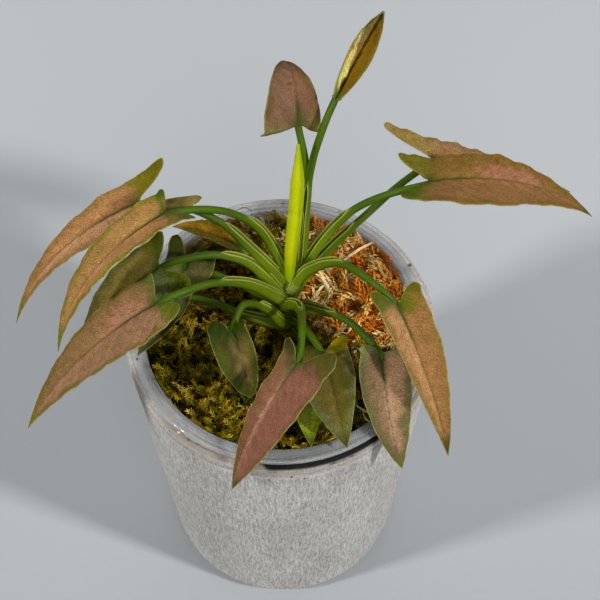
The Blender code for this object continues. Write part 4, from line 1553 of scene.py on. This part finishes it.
@dataclass(frozen=True)
class SpearShape:
    """The rolled new leaf, in millimetres; its seam winds nearly half round it."""

    path: tuple[Point, ...] = (
        (2.6, 6.8, 13.0), (3.2, 10.2, 23.0), (4.3, 15.0, 33.0), (4.9, 19.5, 43.0), (4.9, 24.3, 53.0)
    )
    radii: tuple[float, ...] = (1.3, 1.8, 2.0, 1.75, 0.4)
    rings: int = 80
    sides: int = 36
    seam_depth: float = 0.28
    base: Rgb = (120, 146, 2)
    body: Rgb = (178, 184, 0)
    tip: Rgb = (150, 160, 0)
    shaded: Rgb = (118, 146, 0)
    length: float = 45.0

    def skin(self) -> Skin:
        """Sweep the roll, with an overlapping edge that drops into its seam.

        The radius climbs by the seam's depth over one turn and falls back at the
        seam, which winds up the roll.  Painted shade darkens the seam.  A faint waist lies
        half way up, and the right side is a greener, deeper tone.

        Returns:
            Its surface.
        """
        path = smooth_path(above_floor(self.path), self.rings)
        along = np.linspace(0, 1, self.rings)
        radii = np.interp(along, np.linspace(0, 1, len(self.radii)), self.radii)
        angles = round_angles(self.sides)
        turn = ((angles[None] / (2 * np.pi)) + 0.12 + 0.42 * along[:, None]) % 1.0
        seam = self.seam_depth * smooth((turn - 0.1) / 0.8) * smooth(1 - (turn - 0.94) / 0.06)
        waist = 1 - 0.12 * smooth(1 - np.abs(along - 0.52) / 0.05)
        reach = radii[:, None] * (1.0 - 0.12 + seam) * waist[:, None]
        points, faces, share = sweep(path, reach[..., None] * on_circle(angles))
        dips = with_hubs(1 - seam / self.seam_depth)
        colour = blend(linear(self.base), linear(self.body), smooth(share / 0.25))
        colour = blend(colour, linear(self.tip), smooth((share - 0.8) / 0.2))
        # painted shade in the seam, where the overlapping edge drops in: up to 25% darker
        colour = colour * (1.0 - 0.25 * smooth((dips - 0.8) / 0.2))[:, None]
        middle = np.concatenate([np.repeat(path, self.sides, axis=0), path[[0, -1]]])
        beside = smooth((points[:, 0] - middle[:, 0]) / 0.9 + 0.1)
        colour = blend(colour, linear(self.shaded), 0.75 * beside)
        place = stalk_place(with_hubs(np.tile(angles, self.rings)), share * self.length)
        return Skin(points, faces, colour, place)


@dataclass(frozen=True)
class PotShape:
    """Profile of the concrete cover pot, in millimetres."""

    height: float = 112.0
    rim_radius: float = 43.7
    base_radius: float = 35.5
    foot_rounding: float = 6.0
    floor: float = 6.0
    mouth_radius: float = 40.2
    bore_radius: float = 31.5
    lip_band: float = 4.0
    groove: float = 0.5
    edge: float = 0.8
    segments: int = 256
    colour: Rgb = (178, 176, 172)

    def radius(self, height: float) -> float:
        """Outer radius of the straight side at a height above the floor."""
        return self.base_radius + (self.rim_radius - self.base_radius) * height / self.height

    def skin(self) -> Skin:
        """Turn the profile, then chip the lip and roughen the side a little.

        Returns:
            The pot's surface.
        """
        band, foot, edge = self.height - self.lip_band, self.foot_rounding, self.edge
        profile: list[Pair] = [(0.0, 0.0)]
        profile += arc((self.radius(foot) - foot, foot), foot, -90, -4, 12)
        profile += [(self.radius(band - 1.4), band - 1.4)]
        steps = ((0.3, -1.0), (self.groove, -0.6), (0.2, -0.2), (0.02, 0.2))
        profile += [(self.radius(band) - inward, band + up) for inward, up in steps]
        profile += arc((self.rim_radius - edge, self.height - edge), edge, 0, 90, 6)
        profile += arc((self.mouth_radius + edge, self.height - edge), edge, 90, 180, 6)
        profile += [(self.bore_radius, self.floor), (0.0, self.floor)]
        points, faces = lathe(refined(profile, 3.0), self.segments)
        radial = unit(points * np.array([1.0, 1.0, 0.0]))
        side = smooth((points[:, 2] - 2.0) / 6.0)
        uneven = 0.07 * drift(points, 14.0, 3) + 0.06 * drift(points * np.array([1.0, 1.0, 0.6]), 4.5, 4)
        chips = 0.22 * smooth((drift(points, 5.0, 5) - 0.55) / 0.5) * smooth((points[:, 2] - band) / 2.0)
        points = points + (side * (uneven - chips) - 0.05)[:, None] * radial
        return Skin.shells(points, faces, linear(self.colour))


@dataclass(frozen=True)
class CupShape:
    """Profile of the clear cup, whose stepped rim rests on the pot, in millimetres."""

    rim_radius: float = 42.5
    wall: float = 0.8
    top_radius: float = 38.9
    base: float = 24.0
    base_radius: float = 30.0
    seat: float = 112.3
    segments: int = 256
    colour: Rgb = (236, 240, 242)

    def inner_radius(self, height: Array | float) -> Array | float:
        """Inner radius of the wall at a height above the floor."""
        share = (height - self.base) / (RIM_TOP - self.base)
        return self.base_radius + (self.top_radius - self.base_radius) * share - self.wall

    def skin(self) -> Skin:
        """Turn the profile: an outer bead, a shallow step and an inner bead.

        Returns:
            The cup's surface.
        """
        inner = float(self.inner_radius(RIM_TOP))
        outer = float(self.inner_radius(self.seat)) + self.wall
        profile: list[Pair] = [(0.0, self.base), (self.base_radius, self.base)]
        profile += [(outer, self.seat), (self.rim_radius - 0.7, self.seat)]
        profile += arc((self.rim_radius - 0.75, RIM_TOP - 0.75), 0.75, -60, 120, 8)
        profile += [(self.rim_radius - 1.6, RIM_TOP - 0.45), (inner + 1.5, RIM_TOP - 0.4)]
        profile += arc((inner + 0.7, RIM_TOP - 0.7), 0.7, 60, 180, 6)
        profile += [(self.base_radius - self.wall, self.base + self.wall), (0.0, self.base + self.wall)]
        points, faces = lathe(refined(profile, 4.0), self.segments)
        return Skin.shells(points, faces, linear(self.colour))


@dataclass(frozen=True)
class Bed:
    """Top of the growing medium, in millimetres and degrees."""

    centre: Pair = (1.7, -0.1)
    hole: float = 3.7
    depth: float = 5.5
    shelf: float = 101.0
    slope: float = 0.05
    lump: float = 1.1
    dry_sector: Pair = (-12.0, 84.0)
    clearance: float = 0.3
    root_floor: float = 92.7
    rings: int = 40
    fill_sides: int = 216
    slab_sides: int = 160

    def height(self, x: Array, y: Array) -> Array:
        """Lumpy top: it falls gently to the back, with three crossing waves.

        Args:
            x: positions to the right.
            y: positions to the back.

        Returns:
            Heights above the floor.
        """
        wave = np.sin(0.42 * x + 1.3) * np.cos(0.37 * y - 0.4)
        wave = wave + 0.6 * np.sin(0.71 * x - 0.55 * y + 2.1) + 0.4 * np.cos(1.05 * x + 0.9 * y)
        return RIM_TOP - self.depth - self.slope * y + self.lump * wave

    def to_wall(self, angles: Array, radius: Array | float) -> Array:
        """Distance from the stem to the cup's wall, less the clearance.

        Args:
            angles: directions from the stem, in radians.
            radius: inner radius of the cup there.

        Returns:
            The distances.
        """
        along = self.centre[0] * np.cos(angles) + self.centre[1] * np.sin(angles)
        offset = self.centre[0] ** 2 + self.centre[1] ** 2
        return -along + np.sqrt(along**2 + (radius - self.clearance) ** 2 - offset)

    def point(self, distance: Array, angles: Array) -> tuple[Array, Array]:
        """Position x and y at a distance in millimetres and a direction from the stem."""
        return self.centre[0] + distance * np.cos(angles), self.centre[1] + distance * np.sin(angles)

    def surface(self, x: Array, y: Array) -> Array:
        """Points of the core's top: its height, with fine relief between the shoots.

        Args:
            x: positions to the right.
            y: positions to the back.

        Returns:
            (..., 3) points.
        """
        spots = np.stack([x, y, np.zeros_like(x)], axis=-1)
        lumps = 0.7 * drift(spots, 5.0, 11) + 0.5 * drift(spots, 2.2, 12) - 0.6
        return np.stack([x, y, self.height(x, y) + lumps], axis=-1)


@dataclass(frozen=True)
class BedBuilder:
    """Makes the two cores of the medium: the dried fill and the green slab on it."""

    bed: Bed
    cup: CupShape

    def reach(self, angles: Array) -> Array:
        """Distance to the wall at the height of the medium's edge.

        Args:
            angles: directions in radians.

        Returns:
            The distances.
        """
        first = self.bed.to_wall(angles, self.cup.inner_radius(RIM_TOP - self.bed.depth))
        x, y = self.bed.point(first, angles)
        return self.bed.to_wall(angles, self.cup.inner_radius(self.bed.height(x, y)))

    def top(self, angles: Array) -> tuple[Array, Array]:
        """Grid of the top, ring by ring from the stem to the wall.

        Args:
            angles: directions in radians.

        Returns:
            (rings, n, 3) points and (rings, n) distances from the stem.
        """
        share = np.linspace(0, 1, self.bed.rings)[:, None]
        distance = self.bed.hole + share * (self.reach(angles)[None] - self.bed.hole)
        return self.bed.surface(*self.bed.point(distance, angles[None])), distance

    def shaded(self, points: Array, faces: Array, colour: Rgb, seed: int) -> Skin:
        """Skin of a core in a display colour, which waves picked by the seed vary."""
        shade = linear(colour) * (1.0 + 0.4 * drift(points, 3.0, seed))[:, None]
        return Skin(points, faces, np.clip(shade, 0.002, 1), points)

    def fill(self, colour: Rgb) -> Skin:
        """The dried fill: raised in the dry sector, a flat shelf under the green moss.

        Args:
            colour: its display colour.

        Returns:
            Its surface.
        """
        bed, cup, count = self.bed, self.cup, self.bed.fill_sides
        start, end = bed.dry_sector
        angles = round_angles(count) + math.radians(start)
        grid, _ = self.top(angles)
        inside = (np.degrees(angles) - start) < end - start
        grid[..., 2] = np.where(inside, grid[..., 2], bed.shelf)
        base = cup.base + cup.wall + bed.clearance
        low = bed.point(bed.to_wall(angles, cup.inner_radius(base)), angles)
        low_ring = np.stack([*low, np.full(count, base)], axis=-1)
        deep = grid[0] * np.array([1.0, 1.0, 0.0]) + np.array([0.0, 0.0, bed.root_floor])
        rings = np.concatenate([deep[None], grid, low_ring[None]])
        hubs = [(*bed.centre, bed.root_floor), (*bed.centre, base)]
        points = np.concatenate([rings.reshape(-1, 3), hubs])
        return self.shaded(points, capped_faces(len(rings), count), colour, 21)

    def slab(self, colour: Rgb) -> Skin:
        """The green slab over the rest of the fill.

        Args:
            colour: its display colour.

        Returns:
            Its surface.
        """
        bed = self.bed
        start, end = bed.dry_sector
        level = bed.shelf + bed.clearance
        middle = np.radians(np.linspace(end + 0.5, start + 359.5, bed.slab_sides))
        _, distance = self.top(middle)
        inset = np.arcsin((bed.clearance + 0.1) / distance)
        angles = np.broadcast_to(middle, distance.shape).copy()
        angles[:, 0] += inset[:, 0]
        angles[:, -1] -= inset[:, -1]
        grid = bed.surface(*bed.point(distance, angles))
        low = distance.copy()
        low[-1] = bed.to_wall(angles[-1], self.cup.inner_radius(level))
        x, y = bed.point(low, angles)
        under = np.stack([x, y, np.full(x.shape, level)], axis=-1)
        points = np.concatenate([grid.reshape(-1, 3), under.reshape(-1, 3)])
        faces = shell_faces(sheet_faces(*distance.shape)[:, ::-1], distance.size)
        return self.shaded(points, faces, colour, 22)


@dataclass(frozen=True)
class ShootStyle:
    """One kind of moss shoot, in millimetres and degrees.

    Attributes:
        count: how many shoots.
        length: shortest and longest.
        radius: of its stem.
        leaflet: length and width of one leaflet.
        leaflets: how many on a shoot.
        lean: least and most lean from upright.
        curl: how far it bends over its length.
        open_angle: angle between leaflet and stem.
        palette: display colours of whole shoots.
        shade: how dark the foot is, as a share of the tip.
        sink: how deep the foot stands in the core.
        tuft: radius of a tuft.
        members: shoots in a tuft.
        mound: least and most height of a tuft's middle.
    """

    count: int
    length: Pair
    radius: float
    leaflet: Pair
    leaflets: int
    lean: Pair
    curl: Pair
    open_angle: float
    palette: tuple[Rgb, ...]
    shade: float
    sink: float
    tuft: float
    members: int
    mound: Pair


@dataclass
class ShootBuilder:
    """Makes many leafy shoots at once as whole arrays.

    Attributes:
        bed: what the shoots stand in.
        cup: what they stay inside.
        seed: for every random choice.
        rings: points along a stem.
        sides: points round a stem.
        core_depth: depth below the rim where the bed's width is read.
    """

    bed: Bed
    cup: CupShape
    seed: int
    rings: int = 5
    sides: int = 3
    core_depth: float = 6.0

    def __post_init__(self) -> None:
        """Start the random source."""
        self.rng = np.random.default_rng(self.seed)

    def scatter(self, style: ShootStyle, sector: Pair) -> tuple[Array, Array, Array, Array]:
        """Feet of the shoots, gathered in domed tufts.

        The tufts' directions turn by the golden ratio and their distances grow with the
        square root, so that they cover the sector evenly.

        Args:
            style: kind of shoot.
            sector: first and last direction in degrees.

        Returns:
            (n, 3) feet, each one's direction away from its tuft's middle, and the
            number of its tuft.
        """
        rng, tufts, count = self.rng, max(1, style.count // style.members), style.count
        order = np.arange(tufts) + 0.5
        turned = (order * GOLDEN_SHARE + rng.normal(0, 0.012, tufts)) % 1.0
        angle = np.radians(sector[0] + (sector[1] - sector[0]) * turned)
        wall = self.bed.to_wall(angle, self.cup.inner_radius(RIM_TOP - self.core_depth))
        radius = np.sqrt(0.015 + 0.985 * order / tufts) * wall
        x, y = self.bed.point(radius, angle)
        mound = rng.uniform(*style.mound, tufts)
        member = rng.integers(0, tufts, count)
        turn = rng.uniform(0, 2 * np.pi, count)
        away = np.sqrt(rng.uniform(0, 1, count))
        x = x[member] + style.tuft * away * np.cos(turn)
        y = y[member] + style.tuft * away * np.sin(turn)
        raised = mound[member] * (1 - away**2) + 3.2 * smooth((y - 10.0) / 22.0)
        feet = np.stack([x, y, self.bed.height(x, y) - style.sink + raised], axis=-1)
        return feet, turn + rng.normal(0, 0.7, count), member

    def axes(self, style: ShootStyle, feet: Array, heading: Array) -> tuple[Array, Array]:
        """Stem points and directions: each stem bends on as it grows.

        Args:
            style: kind of shoot.
            feet: (n, 3) feet.
            heading: directions of lean.

        Returns:
            (shoots, rings, 3) points and unit tangents.
        """
        rng, count = self.rng, len(feet)
        length = rng.uniform(*style.length, count)[:, None]
        lean = np.radians(rng.uniform(*style.lean, count))[:, None]
        curl = np.radians(rng.uniform(*style.curl, count))[:, None]
        swirl = rng.normal(0, 0.9, count)[:, None]
        share = np.linspace(0, 1, self.rings)
        tilt = lean + curl * share
        azimuth = heading[:, None] + swirl * share
        flat = np.sin(tilt)[..., None] * on_circle(azimuth)
        tangents = np.concatenate([flat, np.cos(tilt)[..., None]], axis=-1)
        steps = 0.5 * (tangents[:, 1:] + tangents[:, :-1]) * (length / (self.rings - 1))[..., None]
        points = feet[:, None] + np.concatenate([np.zeros((count, 1, 3)), np.cumsum(steps, axis=1)], axis=1)
        return self.kept_inside(points), tangents

    def kept_inside(self, points: Array) -> Array:
        """Pull points back from the cup's wall and down from above the rim.

        Args:
            points: any array of positions.

        Returns:
            The same array within the cup.
        """
        limit = self.cup.inner_radius(np.minimum(points[..., 2], RIM_TOP)) - 0.3
        radius = np.maximum(np.hypot(points[..., 0], points[..., 1]), 1e-6)
        pull = np.minimum(1.0, limit / radius)
        bounded = points * np.stack([pull, pull, np.ones_like(pull)], axis=-1)
        bounded[..., 2] = np.minimum(bounded[..., 2], RIM_TOP + 1.5)
        return bounded

    def shoots(self, style: ShootStyle, sector: Pair) -> Skin:
        """Stems and leaflets of one kind of shoot over one sector.

        Args:
            style: kind of shoot.
            sector: first and last direction in degrees.

        Returns:
            One surface of many closed shells.
        """
        rng, count = self.rng, style.count
        feet, heading, member = self.scatter(style, sector)
        points, tangents = self.axes(style, feet, heading)
        base = np.array([linear(colour) for colour in style.palette])
        shared = rng.integers(0, len(base), int(member.max()) + 1)[member]
        chosen = np.where(rng.uniform(0, 1, count) < 0.6, shared, rng.integers(0, len(base), count))
        own = (base[chosen] * rng.uniform(0.75, 1.2, (count, 1)))[:, None, None]
        side = unit(np.cross(tangents, np.array([0.31, -0.22, 0.93])))
        frame = (points, tangents, side, np.cross(tangents, side))
        return Skin.joined([self.stems(style, frame, own), self.leaflets(style, frame, own)])

    def stems(self, style: ShootStyle, frame: tuple[Array, ...], own: Array) -> Skin:
        """Stems of the shoots: three-sided tubes that thin towards the tip.

        Args:
            style: kind of shoot.
            frame: (shoots, rings, 3) points, tangents and two normals.
            own: linear colour of each shoot.

        Returns:
            One surface of closed tubes.
        """
        points, _, side, other = frame
        share = np.linspace(0, 1, self.rings)
        ring = round_angles(self.sides)
        radius = style.radius * (1.0 - 0.7 * share)[None, :, None, None]
        around = np.cos(ring)[:, None] * side[:, :, None] + np.sin(ring)[:, None] * other[:, :, None]
        stems = points[:, :, None] + radius * around
        each = self.rings * self.sides
        caps = np.array([[0, 1, 2], [each - 1, each - 2, each - 3]])
        one = np.concatenate([ring_faces(self.rings, self.sides), caps])
        faces = (np.arange(style.count) * each)[:, None, None] + one
        shade = (style.shade + (1 - style.shade) * share)[None, :, None, None]
        return Skin.shells(stems, faces, own * shade * 0.8)

    def leaflets(self, style: ShootStyle, frame: tuple[Array, ...], own: Array) -> Skin:
        """Leaflets of the shoots: flat tetrahedra, lighter towards their tips.

        They follow each other round the stem by the golden angle and shrink towards
        its tip.

        Args:
            style: kind of shoot.
            frame: (shoots, rings, 3) points, tangents and two normals.
            own: linear colour of each shoot.

        Returns:
            One surface of closed leaflets.
        """
        rng, shape = self.rng, (style.count, style.leaflets, 1)
        points, tangents, side, other = frame
        where = (np.arange(style.leaflets) + 0.5) / style.leaflets
        at = where * (self.rings - 1)
        low = np.minimum(at.astype(int), self.rings - 2)
        part = (at - low)[None, :, None]
        foot = points[:, low] * (1 - part) + points[:, low + 1] * part
        axis = unit(tangents[:, low] * (1 - part) + tangents[:, low + 1] * part)
        turn = (np.arange(style.leaflets) * GOLDEN_ANGLE)[None] + rng.uniform(0, 6.28, (style.count, 1))
        radial = np.cos(turn)[..., None] * side[:, low] + np.sin(turn)[..., None] * other[:, low]
        across = np.cross(axis, radial)
        opened = math.radians(style.open_angle) + rng.normal(0, 0.18, shape)
        reach = np.cos(opened) * axis + np.sin(opened) * radial
        size = (1.0 - 0.45 * where**2)[None, :, None] * rng.uniform(0.75, 1.2, shape)
        long, wide = style.leaflet
        foot = foot + 0.6 * style.radius * radial
        belly = unit(np.cross(across, reach))
        corners = np.stack(
            [
                foot - 0.5 * wide * size * across,
                foot + 0.5 * wide * size * across,
                foot + 0.35 * long * size * reach + 0.3 * wide * size * belly,
                foot + long * size * reach,
            ],
            axis=2,
        )
        one = np.array([[0, 1, 2], [1, 3, 2], [3, 0, 2], [1, 0, 3]])
        faces = (np.arange(style.count * style.leaflets) * 4)[:, None, None] + one
        lit = np.array([0.75, 0.75, 1.0, 1.2])[None, None, :, None]
        glow = (style.shade + (1 - style.shade) * where)[None, :, None, None] * lit
        tint = own * glow * rng.uniform(0.85, 1.15, (*shape, 1))
        return Skin.shells(self.kept_inside(corners), faces, tint)


@dataclass(frozen=True)
class Strand:
    """One loose bit on the bed: a straw, twig, hair or crumb.

    Attributes:
        path: points it runs through, heights above the rim.
        radius: its half thickness in millimetres.
        colour: its display colour.
    """

    path: tuple[Point, ...]
    radius: float
    colour: Rgb


@dataclass(frozen=True)
class Litter:
    """Loose bits that the photograph shows on the bed and the rims."""

    straw: Rgb = (228, 184, 94)
    strands: tuple[Strand, ...] = (
        Strand(((10.2, 18.9, -2.0), (12.6, 14.4, -1.0), (14.4, 10.0, -2.0)), 0.5, (236, 218, 170)),
        Strand(((8.6, 10.2, -3.5), (10.8, 12.6, -2.0), (12.6, 14.3, -1.4)), 0.35, (230, 210, 150)),
        Strand(((18.0, 22.4, -1.6), (22.0, 24.6, 0.2), (26.4, 27.9, -0.8)), 0.42, (234, 204, 160)),
        Strand(
            ((20.2, -24.8, 0.0), (23.3, -27.6, 1.2), (26.0, -29.2, 0.8), (28.2, -31.0, 0.2)),
            0.26, (214, 206, 124),
        ),
        Strand(((22.4, -26.6, 0.6), (23.0, -29.4, 1.0), (24.6, -30.6, 0.6)), 0.2, (206, 196, 110)),
        Strand(
            ((-13.4, 37.6, 0.3), (-11.1, 38.0, 1.8), (-9.0, 37.1, 1.8), (-8.4, 35.6, 0.2)),
            0.1, (52, 44, 36),
        ),
        Strand(((12.6, 9.0, -3.0), (13.9, 11.2, -1.6), (13.2, 13.4, -2.2)), 0.3, (222, 214, 140)),
        Strand(((10.4, 4.0, -3.4), (11.8, 6.4, -2.0), (11.0, 8.6, -2.6)), 0.32, (226, 212, 150)),
        Strand(((18.4, -1.6, -3.0), (20.2, 0.4, -1.4), (22.6, 1.0, -2.4)), 0.34, (232, 200, 140)),
        Strand(((15.6, -9.8, -3.2), (17.4, -8.3, -1.8), (19.4, -8.6, -2.8)), 0.34, (228, 196, 128)),
        Strand(((-7.0, 39.0, -3.6), (-5.5, 36.4, -1.8), (-4.9, 33.8, -3.0)), 0.3, (214, 190, 120)),
        Strand(((0.2, 40.5, 0.2), (0.8, 40.6, 0.5)), 0.34, (206, 150, 104)),
        Strand(((36.4, 19.7, 0.1), (37.1, 19.2, 0.6)), 0.45, (150, 96, 60)),
        Strand(((31.0, 8.0, 0.0), (31.7, 8.5, 0.3)), 0.32, (196, 140, 88)),
        Strand(((-27.8, -33.2, 0.1), (-27.0, -33.6, 0.3)), 0.32, (222, 196, 168)),
        Strand(((-39.8, -11.1, 0.1), (-39.3, -10.6, 0.3)), 0.28, (110, 74, 50)),
    )


@dataclass
class LitterBuilder:
    """Makes the loose bits as tapered, slightly bent tubes."""

    litter: Litter
    bed: Bed
    seed: int = 17
    rings: int = 14
    sides: int = 7

    def __post_init__(self) -> None:
        """Start the random source."""
        self.rng = np.random.default_rng(self.seed)

    def tube(self, path: Array, radius: float, colour: Rgb) -> Skin:
        """One bit: its radius falls to 45% at both ends and its outline is knobbly.

        Args:
            path: (n, 3) points above the floor.
            radius: half thickness.
            colour: its display colour.

        Returns:
            Its surface.
        """
        line = smooth_path(path, self.rings, 120)
        share = np.linspace(-1, 1, self.rings)[:, None]
        knobs = 1 + self.rng.normal(0, 0.14, (self.rings, self.sides))
        reach = radius * (1 - 0.55 * np.abs(share) ** 3) * knobs
        points, faces, _ = sweep(line, reach[..., None] * on_circle(round_angles(self.sides)))
        tint = linear(colour) * (1 + 0.12 * drift(points, 2.5, 31))[:, None]
        return Skin(points, faces, np.clip(tint, 0, 1), points)

    def placed(self) -> Skin:
        """The bits that the photograph shows one by one, as separate shells."""
        return Skin.joined([self.tube(above_floor(s.path), s.radius, s.colour) for s in self.litter.strands])

    def fallen(self, count: int, sector: Pair) -> Skin:
        """Pale strands scattered over one sector, each a low arch.

        Args:
            count: how many.
            sector: first and last direction in degrees.

        Returns:
            One surface of separate shells.
        """
        bits = []
        for _ in range(count):
            angle = math.radians(self.rng.uniform(*sector))
            x, y = self.bed.point(np.array(self.rng.uniform(7.0, 31.0)), np.array(angle))
            heading, half = self.rng.uniform(0, np.pi), self.rng.uniform(1.6, 4.2)
            step = half * np.array([math.cos(heading), math.sin(heading), 0.0])
            bend = self.rng.normal(0, 0.8, 3)
            middle = np.array([x, y, float(self.bed.height(x, y)) + self.rng.uniform(2.0, 4.4)])
            path = np.stack([middle - step - (0, 0, 1.8), middle + bend, middle + step - (0, 0, 1.8)])
            colour = tuple(np.array(self.litter.straw) * self.rng.uniform(0.72, 1.05))
            bits.append(self.tube(path, self.rng.uniform(0.22, 0.42), colour))
        return Skin.joined(bits)


@dataclass(frozen=True)
class Planting:
    """Puts the whole potted plant together, piece by piece."""

    cup: CupShape = CupShape()
    bed: Bed = Bed()

    def build_pot(self) -> None:
        """Turn the concrete pot."""
        PotShape().skin().to_object("pot_concrete", ConcreteFinish().build(), Slot.CONCRETE, ("cover_pot",))

    def build_cup(self) -> None:
        """Turn the clear cup."""
        self.cup.skin().to_object("cup_clear", PlasticFinish().build(), Slot.PLASTIC, ("clear_cup",))

    def build_moss(self) -> None:
        """Green slab with its leafy shoots, and the dried fill with its strands."""
        beds = BedBuilder(self.bed, self.cup)
        green = MossFinish("moss_living").build()
        dried = MossFinish("moss_dried", roughness=0.85).build()
        start, end = self.bed.dry_sector
        fresh = ShootStyle(
            count=1270, length=(4.5, 8.5), radius=0.22, leaflet=(1.75, 0.66), leaflets=25,
            lean=(20.0, 80.0), curl=(-10.0, 75.0), open_angle=44.0,
            palette=(
                (192, 162, 14), (212, 182, 34), (146, 138, 0),
                (228, 194, 70), (124, 122, 0), (190, 134, 34),
            ),
            shade=0.06, sink=1.0, tuft=3.5, members=15, mound=(0.2, 3.0),
        )
        strands = ShootStyle(
            count=640, length=(4.5, 9.5), radius=0.6, leaflet=(2.8, 1.6), leaflets=20,
            lean=(40.0, 88.0), curl=(0.0, 80.0), open_angle=24.0,
            palette=(
                (248, 174, 72), (236, 138, 32), (252, 206, 112),
                (198, 108, 26), (252, 218, 142), (244, 156, 52),
            ),
            shade=0.4, sink=0.8, tuft=3.0, members=10, mound=(0.0, 2.4),
        )
        sector = (end + 1.0, start + 359.0)
        litter = LitterBuilder(Litter(), self.bed)
        shoots = ShootBuilder(self.bed, self.cup, 5).shoots(fresh, sector)
        green_skin = Skin.joined([beds.slab((34, 32, 4)), shoots, litter.fallen(14, sector)])
        green_skin.to_object("moss_green_bed", green, Slot.MOSS, ("green_moss",), facets=True)
        sector = (start + 1.0, end - 1.0)
        shoots = ShootBuilder(self.bed, self.cup, 6).shoots(strands, sector)
        dry_skin = Skin.joined([beds.fill((98, 46, 8)), shoots, litter.placed(), litter.fallen(34, sector)])
        dry_skin.to_object("sphagnum_dried_bed", dried, Slot.DRY, ("dry_sphagnum",), facets=True)

    def build_crown(self) -> None:
        """Stem, petioles and the rolled new leaf."""
        crown = CrownBuilder(StalkShape()).skin(LEAVES)
        green = StalkFinish("stalk_green")
        crown.to_object("crown_petioles", green.build(), Slot.STALK, ("stem_with_petioles",))
        lime = StalkFinish("new_leaf_lime", roughness=0.42, streak=(206, 208, 20), shade=(120, 140, 0))
        spear = SpearShape().skin()
        spear.to_object("new_leaf_rolled", lime.build(), Slot.NEW_LEAF, ("rolled_new_leaf",))

    def build_blades(self) -> None:
        """Every leaf blade, with one material for each slot."""
        finishes = {
            Slot.PINK: BladeFinish("blade_dusty_pink").build(),
            Slot.OLIVE: BladeFinish("blade_olive", fleck=(46, 56, 16)).build(),
            Slot.GREEN: BladeFinish("blade_green_leaf", fleck=(34, 50, 6)).build(),
        }
        grid = BladeGrid()
        for index, leaf in enumerate(LEAVES):
            skin = BladeBuilder(leaf, grid, index).skin()
            skin.to_object(f"leaf_{leaf.name}", finishes[leaf.slot], leaf.slot, (f"blade_{leaf.name}",))

    def build(self) -> None:
        """Make every piece."""
        self.build_pot()
        self.build_cup()
        self.build_moss()
        self.build_crown()
        self.build_blades()


@dataclass(frozen=True)
class SoftLight:
    """One square softbox that looks at the plant.

    Attributes:
        name: its name.
        place: position in metres.
        size: side in metres.
        power: in watts.
        colour: linear colour.
        aim: the point that it faces.
    """

    name: str
    place: Point
    size: float
    power: float
    colour: Rgb = (1.0, 1.0, 1.0)
    aim: Point = (0.0, 0.0, 0.1)

    def build(self) -> None:
        """Add the light."""
        lamp = bpy.data.lights.new(self.name, "AREA")
        lamp.shape = "SQUARE"
        lamp.size = self.size
        lamp.energy = self.power
        lamp.color = self.colour
        holder = linked(self.name, lamp)
        holder.location = self.place
        toward = np.subtract(self.aim, self.place)
        holder.rotation_euler = (
            math.atan2(math.hypot(toward[0], toward[1]), -toward[2]),
            0.0,
            math.atan2(toward[1], toward[0]) - math.pi / 2,
        )


@dataclass(frozen=True)
class Studio:
    """Pale floor, soft lights, and the camera at the photograph's angle.

    Places are in metres, the pitch in degrees below level, lens and sensor in millimetres.
    """

    camera_place: Point = (0.0054, -0.2477, 0.5518)
    camera_pitch: float = 59.7
    lens: float = 108.0
    sensor: float = 36.0
    near: float = 0.01
    floor_half: float = 3.0
    world: Rgb = (0.90, 0.96, 1.0)
    world_strength: float = 0.13
    lights: tuple[SoftLight, ...] = (
        SoftLight("softbox_right", (1.06, -0.57, 1.08), 0.13, 19.5),
        SoftLight("softbox_left", (-1.10, -0.50, 1.08), 0.15, 15.0),
        SoftLight("softbox_front", (0.1, -1.1, 1.1), 0.9, 6.0),
        SoftLight("softbox_back", (0.0, 0.8, 1.3), 1.0, 4.5),
    )

    def build(self) -> None:
        """Add floor, world, lights and camera."""
        self.build_floor()
        self.build_world()
        for light in self.lights:
            light.build()
        self.build_camera()
        bpy.context.scene.view_settings.view_transform = "Standard"

    def build_floor(self) -> None:
        """Add the floor, a square of one face."""
        half = self.floor_half
        mesh = bpy.data.meshes.new("floor")
        corners = [(-half, -half, 0), (half, -half, 0), (half, half, 0), (-half, half, 0)]
        mesh.from_pydata(corners, [], [(0, 1, 2, 3)])
        mesh.materials.append(FloorFinish().build())
        floor = linked("floor", mesh)

    def build_world(self) -> None:
        """Add the even light all round."""
        world = bpy.data.worlds.new("studio")
        world.use_nodes = True
        background = world.node_tree.nodes["Background"]
        background.inputs["Color"].default_value = (*self.world, 1.0)
        background.inputs["Strength"].default_value = self.world_strength
        bpy.context.scene.world = world

    def build_camera(self) -> None:
        """Add the camera and make it the scene's."""
        lens = bpy.data.cameras.new("camera")
        lens.lens = self.lens
        lens.sensor_width = self.sensor
        lens.clip_start = self.near
        camera = linked("camera", lens)
        camera.location = self.camera_place
        camera.rotation_euler = (math.radians(90.0 - self.camera_pitch), 0.0, 0.0)
        bpy.context.scene.camera = camera


def main() -> None:
    """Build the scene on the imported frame."""
    logging.basicConfig(level=logging.INFO, format="%(name)s: %(message)s")
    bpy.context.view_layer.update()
    Studio().build()
    Planting().build()


if __name__ == "__main__":
    main()
